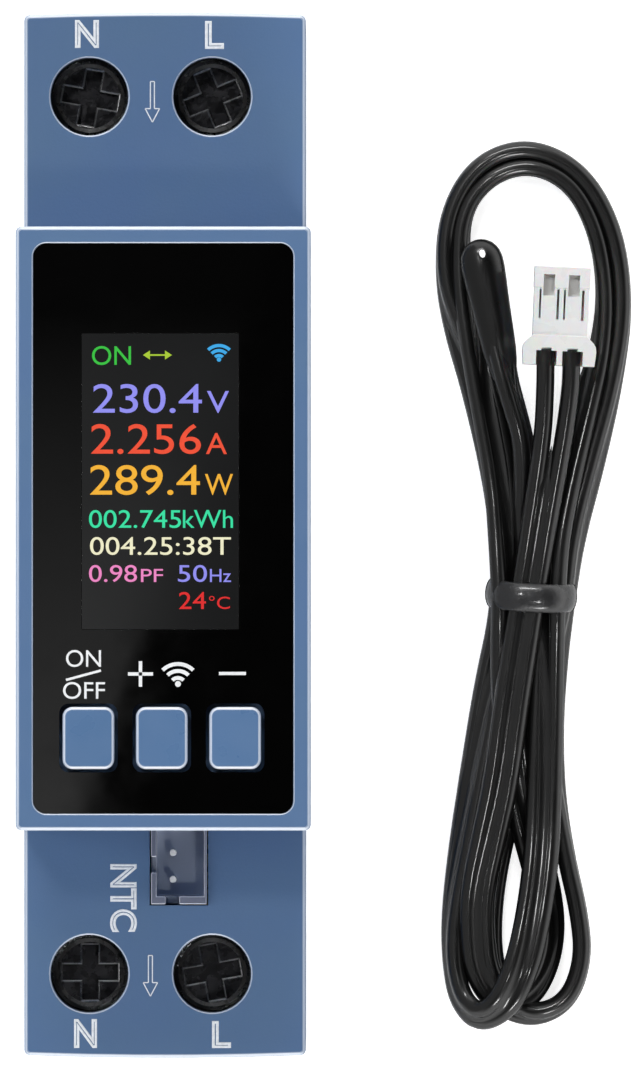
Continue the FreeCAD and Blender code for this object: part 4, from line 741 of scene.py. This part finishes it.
probe = {
    "end": (25.9, 12.6, 4.1), "tilt": 11.3, "rounding": 0.05, "flat": 0.74, "steps": 32,
    "weld": 1e-4,
    # half width at each distance, from the neck to the tip
    "profile": [(0.0, -2.5), (0.5, -2.48), (0.72, -2.2), (0.82, -1.4), (0.92, -0.6), (1.04, 0.1),
                (1.2, 0.9), (1.31, 1.75), (1.38, 2.8), (1.43, 3.8), (1.49, 5.0), (1.56, 6.1),
                (1.64, 7.2), (1.69, 8.2), (1.66, 8.9), (1.56, 9.35), (1.36, 9.75), (1.05, 10.1),
                (0.62, 10.36), (0.25, 10.46), (0.0, 10.48)],
    # the hole that the mould's pin leaves through the tip
    "hole": (0.16, 9.33), "holeWide": 0.24, "holeLong": 0.33, "holeFacets": 20,
    "holeLow": -3, "holeHeight": 6,
}


def probeSolid():
    work = bmesh.new()
    line = [work.verts.new((across, along, 0)) for across, along in probe["profile"]]
    edges = [work.edges.new(pair) for pair in zip(line, line[1:])]
    bmesh.ops.spin(work, geom=line + edges, cent=(0, 0, 0), axis=(0, 1, 0),
                   angle=math.tau, steps=probe["steps"], use_merge=True)
    bmesh.ops.remove_doubles(work, verts=work.verts, dist=probe["weld"])
    bmesh.ops.scale(work, verts=work.verts, vec=(1, 1, probe["flat"]))
    bmesh.ops.recalc_face_normals(work, faces=work.faces)
    return meshFrom("probe_solid", work)


def ovalOutline(middle, wide, long, steps):
    angles = [math.tau * step / steps for step in range(steps)]
    return [(middle[0] + wide * math.cos(angle), middle[1] + long * math.sin(angle))
            for angle in angles]


holeRim = ovalOutline(probe["hole"], probe["holeWide"], probe["holeLong"], probe["holeFacets"])
holeMesh = raisedMesh("probe_hole", [(holeRim, probe["holeLow"], probe["holeHeight"])])
probeMesh = cutMesh("probe_moulding", probeSolid(), holeMesh, probe["rounding"], probe["tilt"],
                    probe["end"])
probePiece = keptPiece("probe_moulding", probeMesh, probePvc, "temperature_lead",
                       True)
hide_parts("ntc_probe_head")
print("probe ready:", len(probeMesh.polygons), "faces")


# Words and signs, each fitted to its place on the photograph

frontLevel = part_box("display_panel")[1].z / mm
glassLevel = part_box("display_glass")[1].z / mm
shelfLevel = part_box("main_housing")[1].z / mm
# for each printed level: a column and row of the photograph with its place in mm, the pixels
# per mm there, and the level and thickness of the print
front = {"column": 163.2, "row": 528.5, "x": 0.0, "y": 0.5, "scale": 13.43,
         "level": frontLevel + 0.005, "thickness": 0.03}
glass = {**front, "level": glassLevel + 0.005, "thickness": 0.02}
shelf = {"column": 320.0, "row": 534.0, "x": 11.68, "y": 0.09, "scale": 13.27,
         "level": shelfLevel + 0.005, "thickness": 0.03}
marks = {**shelf, "level": shelfLevel - 0.01, "thickness": 0.05, "line": 0.036}
# how thick letters are before they are fitted, and the steps of their curves
letters = {"extrude": 0.02, "steps": 6}


def spotOn(face, column, row):
    return (face["x"] + (column - face["column"]) / face["scale"],
            face["y"] - (row - face["row"]) / face["scale"])


def fitToBox(mesh, low, high, face):
    for axis, start, span in ((0, low[0], high[0] - low[0]), (1, low[1], high[1] - low[1]),
                              (2, face["level"], face["thickness"])):
        places = [vertex.co[axis] for vertex in mesh.vertices]
        least = min(places)
        spread = max(places) - least
        for vertex in mesh.vertices:
            vertex.co[axis] = start * mm + (vertex.co[axis] - least) * (span * mm) / spread


def words(name, text, box, face, finish, quarterTurns=0):
    # box: left, right, top and bottom in the photograph's pixels
    curve = bpy.data.curves.new(name, "FONT")
    curve.body = text
    curve.resolution_u = letters["steps"]
    if "line" in face:
        curve.fill_mode = "NONE"
        curve.bevel_depth = face["line"]
        curve.bevel_resolution = 1
    else:
        curve.extrude = letters["extrude"]
    mesh = evaluatedMesh(name, linkedObject(name, curve))
    mesh.transform(Matrix.Rotation(quarterTurns * math.pi / 2, 4, "Z"))
    left, right, top, bottom = box
    fitToBox(mesh, spotOn(face, left, bottom), spotOn(face, right, top), face)
    return keptPiece(name, mesh, finish, "case")


displayRows = [
    ("row_state", "ON", (92, 131, 346, 365), "#2fbf3a"),
    ("row_volts", "230.4", (93, 202, 384, 413), "#8f8df0"),
    ("row_volts_unit", "V", (207, 229, 391, 413), "#8f8df0"),
    ("row_amps", "2.256", (91, 201, 424, 454), "#ee4b2c"),
    ("row_amps_unit", "A", (206, 227, 433, 454), "#ee4b2c"),
    ("row_watts", "289.4", (90, 200, 465, 495), "#f4b22c"),
    ("row_watts_unit", "W", (205, 233, 474, 495), "#f4b22c"),
    ("row_energy", "002.745", (89, 181, 510, 528), "#2fe0a2"),
    ("row_energy_unit", "kWh", (183, 233, 510, 528), "#2fe0a2"),
    ("row_time", "004.25:38T", (90, 231, 537, 555), "#efecc8"),
    ("row_factor", "0.98", (89, 137, 565, 582), "#ee86c4"),
    ("row_factor_unit", "PF", (141, 163, 569, 582), "#ee86c4"),
    ("row_frequency", "50", (178, 207, 565, 582), "#8f8df0"),
    ("row_frequency_unit", "Hz", (210, 231, 569, 582), "#8f8df0"),
    ("row_warmth", "24", (179, 206, 592, 609), "#e02020"),
    ("row_warmth_unit", "°C", (209, 230, 596, 609), "#e02020"),
]
for name, text, box, colour in displayRows:
    words(name, text, box, glass, litPixels(f"{name}_pixels", colour))

for name, text, box in [("panel_on", "ON", (66, 101, 650, 667)),
                        ("panel_off", "OFF", (63, 105, 682, 699))]:
    words(name, text, box, front, whiteInk)
for name, text, box, turns in [
        ("mark_top_neutral", "N", (75, 99, 20, 48), 0),
        ("mark_top_line", "L", (205, 224, 21, 49), 0),
        ("mark_bottom_neutral", "N", (74, 97, 1019, 1048), 0),
        ("mark_bottom_line", "L", (212, 231, 1021, 1048), 0),
        ("mark_sensor", "NTC", (110, 137, 864, 932), -1)]:
    words(name, text, box, marks, markInk, turns)


def flatSign(name, outlines, face, finish):
    # closed outlines in the photograph's pixels, each raised into a thin plate
    plates = [([spotOn(face, *spot) for spot in outline], face["level"], face["thickness"])
              for outline in outlines]
    mesh = raisedMesh(name, plates)
    mesh.transform(Matrix.Scale(mm, 4))
    return keptPiece(name, mesh, finish, "case")


def bar(column, row, halfWide, halfHigh):
    return [(column - halfWide, row - halfHigh), (column + halfWide, row - halfHigh),
            (column + halfWide, row + halfHigh), (column - halfWide, row + halfHigh)]


def slanted(start, end, half):
    way = (Vector(end) - Vector(start)).normalized()
    aside = Vector((-way.y, way.x)) * half
    return [Vector(start) + aside, Vector(end) + aside, Vector(end) - aside, Vector(start) - aside]


# how far the arcs of the wireless sign reach to each side, in degrees, and their steps
radio = {"spread": 44, "arcSteps": 12, "dotSteps": 16}


def arch(column, row, radius, half):
    spread, steps = radio["spread"], radio["arcSteps"]
    angles = [math.radians(-90 - spread + 2 * spread * step / steps) for step in range(steps + 1)]
    outer = [(column + (radius + half) * math.cos(a), row + (radius + half) * math.sin(a))
             for a in angles]
    inner = [(column + (radius - half) * math.cos(a), row + (radius - half) * math.sin(a))
             for a in reversed(angles)]
    return outer + inner


def radioSign(column, row, radii, half, dotRow, dotRadius):
    # three arcs over a dot
    return ([arch(column, row, radius, half) for radius in radii]
            + [ovalOutline((column, dotRow), dotRadius, dotRadius, radio["dotSteps"])])


panelSigns = [
    ("panel_slash", [slanted((66, 680), (101, 670.5), 1.2)]),
    ("panel_plus", [bar(140.5, 674, 12.5, 1.7), bar(140.5, 674, 1.7, 12.8)]),
    ("panel_minus", [bar(232.5, 673.5, 13.5, 1.6)]),
    ("panel_radio", radioSign(178, 686, (22, 15, 8), 1.9, 684, 3)),
]
displaySigns = [
    ("display_radio", "radio_pixels", "#35a8e8",
     radioSign(219, 361, (15.5, 10.5, 5.5), 1.6, 359.5, 2.2)),
    ("display_arrow", "arrow_pixels", "#a6c92c",
     [[(143, 355), (150, 350.5), (150, 354.2), (165, 354.2), (165, 350.5), (172, 355),
       (165, 359.5), (165, 355.8), (150, 355.8), (150, 359.5)]]),
]
for name, outlines in panelSigns:
    flatSign(name, outlines, front, whiteInk)
for name, finishName, colour, outlines in displaySigns:
    flatSign(name, outlines, glass, litPixels(finishName, colour))

# half width of the shaft, of the head and of the drawn line, and where shaft, head and tip lie
arrow = {"shaft": 2.0, "head": 7.2, "line": 0.55, "from": 0.5, "headFrom": 27.6, "tip": 41.2}
for name, column, row in (("arrow_top", 152.4, 81), ("arrow_bottom", 150.4, 955)):
    left, right = column - arrow["shaft"], column + arrow["shaft"]
    tail, shoulder = row + arrow["from"], row + arrow["headFrom"]
    corners = [(left, shoulder), (left, tail), (right, tail), (right, shoulder),
               (column + arrow["head"], shoulder), (column, row + arrow["tip"]),
               (column - arrow["head"], shoulder), (left, shoulder)]
    strokes = [slanted(start, end, arrow["line"]) for start, end in zip(corners, corners[1:])]
    flatSign(name, strokes, shelf, markInk)
print("words and signs ready")


# Floor, lights and camera

# the floor's side in metres, its level in mm, and how much it glows for the camera
stage = {"floor": "#f4f4f3", "roughness": 0.7, "size": 4.0, "level": -0.03, "glow": 0.8}
# the upward share where the sky begins to darken and is darkest, and its strength at both
sky = {"horizon": 0.2, "zenith": 0.85, "bright": 1.3, "dark": 0.015}
# place, lens and sensor in mm, near and far limit in metres
camera = {"place": (11.68, 0.09, 1562), "lens": 679.0, "sensor": 36.0, "near": 0.05, "far": 20}
# a softbox whose edge the gloss panel mirrors: its outline as the photograph shows it in the
# panel, and how its light fades from one level across to the other
glare = {"above": 300, "from": -26, "to": 20, "bright": 0.72, "dim": 0.03,
         "outline": [(-60, 150), (283, 215), (239, 333), (184, 506), (142, 630), (94, 772),
                     (60, 900), (-60, 900)]}
# a pale card between case and lead, whose reflection draws the lead's left edges
sideCard = {"x": 15, "halfLength": 42, "low": 4, "high": 55, "light": 0.3}
# place and aim in metres, width, height, watts
lamps = {
    "top_box": ((-0.1, 0.75, 0.8), (0.01, 0, 0), 0.5, 0.12, 4.0),
    "low_box": ((0.2, -0.8, 0.75), (0.01, 0, 0), 0.3, 0.12, 3.1),
    "upper_glint": ((-0.2, 0.32, 1.2), (0, 0, 0.04), 0.09, 0.09, 1.4),
    "lower_glint": ((0.18, -0.28, 1.2), (0, 0, 0.04), 0.07, 0.07, 0.9),
    "left_box": ((-0.8, 0.1, 0.8), (0.01, 0, 0), 0.35, 0.7, 2.9),
}


def makeFloor():
    finish, tree, shader, place = startFinish("paleBoard", stage["floor"], stage["roughness"])
    grainBump(tree, shader, place, grain=2, depth=0.02)
    rays = addNode(tree, "ShaderNodeLightPath").outputs
    seen = mathNode(tree, "MAXIMUM", rays["Is Camera Ray"], rays["Is Transmission Ray"])
    shader.inputs["Emission Color"].default_value = linearColour("#ffffff")
    tree.links.new(mathNode(tree, "MULTIPLY", seen, stage["glow"]),
                   shader.inputs["Emission Strength"])
    work = bmesh.new()
    bmesh.ops.create_grid(work, x_segments=1, y_segments=1, size=stage["size"] / 2)
    bmesh.ops.translate(work, verts=work.verts, vec=(0, 0, stage["level"] * mm))
    mesh = meshFrom("floor", work)
    mesh.materials.append(finish)
    linkedObject("floor", mesh)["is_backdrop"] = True


def makeSky():
    # a bright horizon and a darker zenith, as in a light tent with its lens hole above
    world = bpy.data.worlds.new("tent")
    scene.world = world
    world.use_nodes = True
    tree = world.node_tree
    way = addNode(tree, "ShaderNodeTexCoord").outputs["Generated"]
    rise = addNode(tree, "ShaderNodeSeparateXYZ", links={"Vector": way}).outputs["Z"]
    share = mapped(tree, rise, sky["horizon"], sky["zenith"], sky["bright"], sky["dark"],
                   interpolation_type="SMOOTHSTEP")
    back = tree.nodes["Background"]
    back.inputs["Color"].default_value = linearColour("#ffffff")
    tree.links.new(share, back.inputs["Strength"])


def makeLamp(name, place, aim, wide, high, power):
    light = bpy.data.lights.new(name, "AREA")
    light.shape = "RECTANGLE"
    light.size = wide
    light.size_y = high
    light.energy = power
    lamp = linkedObject(name, light)
    lamp.location = place
    lamp.rotation_euler = (Vector(aim) - Vector(place)).to_track_quat("-Z", "Y").to_euler()


def makeCamera():
    lens = bpy.data.cameras.new("photo_camera")
    lens.sensor_width = camera["sensor"]
    lens.lens = camera["lens"]
    lens.clip_start = camera["near"]
    lens.clip_end = camera["far"]
    holder = linkedObject("photo_camera", lens)
    holder.location = [side * mm for side in camera["place"]]
    scene.camera = holder


def hiddenCard(name, corners, finish):
    # a flat card, corners in mm, that only reflections see
    work = bmesh.new()
    work.faces.new([work.verts.new(corner) for corner in corners])
    bmesh.ops.scale(work, verts=work.verts, vec=(mm, mm, mm))
    mesh = meshFrom(name, work)
    mesh.materials.append(finish)
    card = linkedObject(name, mesh)
    card.visible_camera = False
    card.visible_diffuse = False
    card.visible_shadow = False
    card.visible_transmission = False
    card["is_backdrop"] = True


def makeSideCard():
    # matt card that glows faintly and evenly
    finish, _, shader, _ = startFinish("paleCard", "#000000", roughness=1.0)
    shader.inputs["Emission Color"].default_value = linearColour("#ffffff")
    shader.inputs["Emission Strength"].default_value = sideCard["light"]
    half, low, high = sideCard["halfLength"], sideCard["low"], sideCard["high"]
    corners = [(sideCard["x"], y, z) for y, z in
               ((-half, low), (half, low), (half, high), (-half, high))]
    hiddenCard("side_card", corners, finish)


def makeGlareCard():
    # softbox cloth, brightest towards the lower end of the case
    finish = bpy.data.materials.new("softboxCloth")
    finish.use_nodes = True
    tree = finish.node_tree
    tree.nodes.remove(tree.nodes["Principled BSDF"])
    place = addNode(tree, "ShaderNodeTexCoord").outputs["Object"]
    along = addNode(tree, "ShaderNodeSeparateXYZ", links={"Vector": place}).outputs["Y"]
    fading = mapped(tree, along, glare["from"] * mm, glare["to"] * mm, glare["bright"],
                    glare["dim"])
    light = addNode(tree, "ShaderNodeEmission", links={"Strength": fading})
    tree.links.new(light.outputs["Emission"], tree.nodes["Material Output"].inputs["Surface"])
    # each corner lies on the mirrored line from the camera through its spot on the panel
    cameraX, cameraY, cameraZ = camera["place"]
    reach = 1 + glare["above"] / (cameraZ - frontLevel)
    corners = []
    for column, row in glare["outline"]:
        x, y = spotOn(front, column, row)
        corners.append((cameraX + (x - cameraX) * reach, cameraY + (y - cameraY) * reach,
                        frontLevel + glare["above"]))
    hiddenCard("glare_card", corners, finish)


makeFloor()
makeSky()
makeSideCard()
makeCamera()
makeGlareCard()
for name, (place, aim, wide, high, power) in lamps.items():
    makeLamp(name, place, aim, wide, high, power)
scene.view_settings.view_transform = "Standard"
print("stage ready")

low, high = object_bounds()
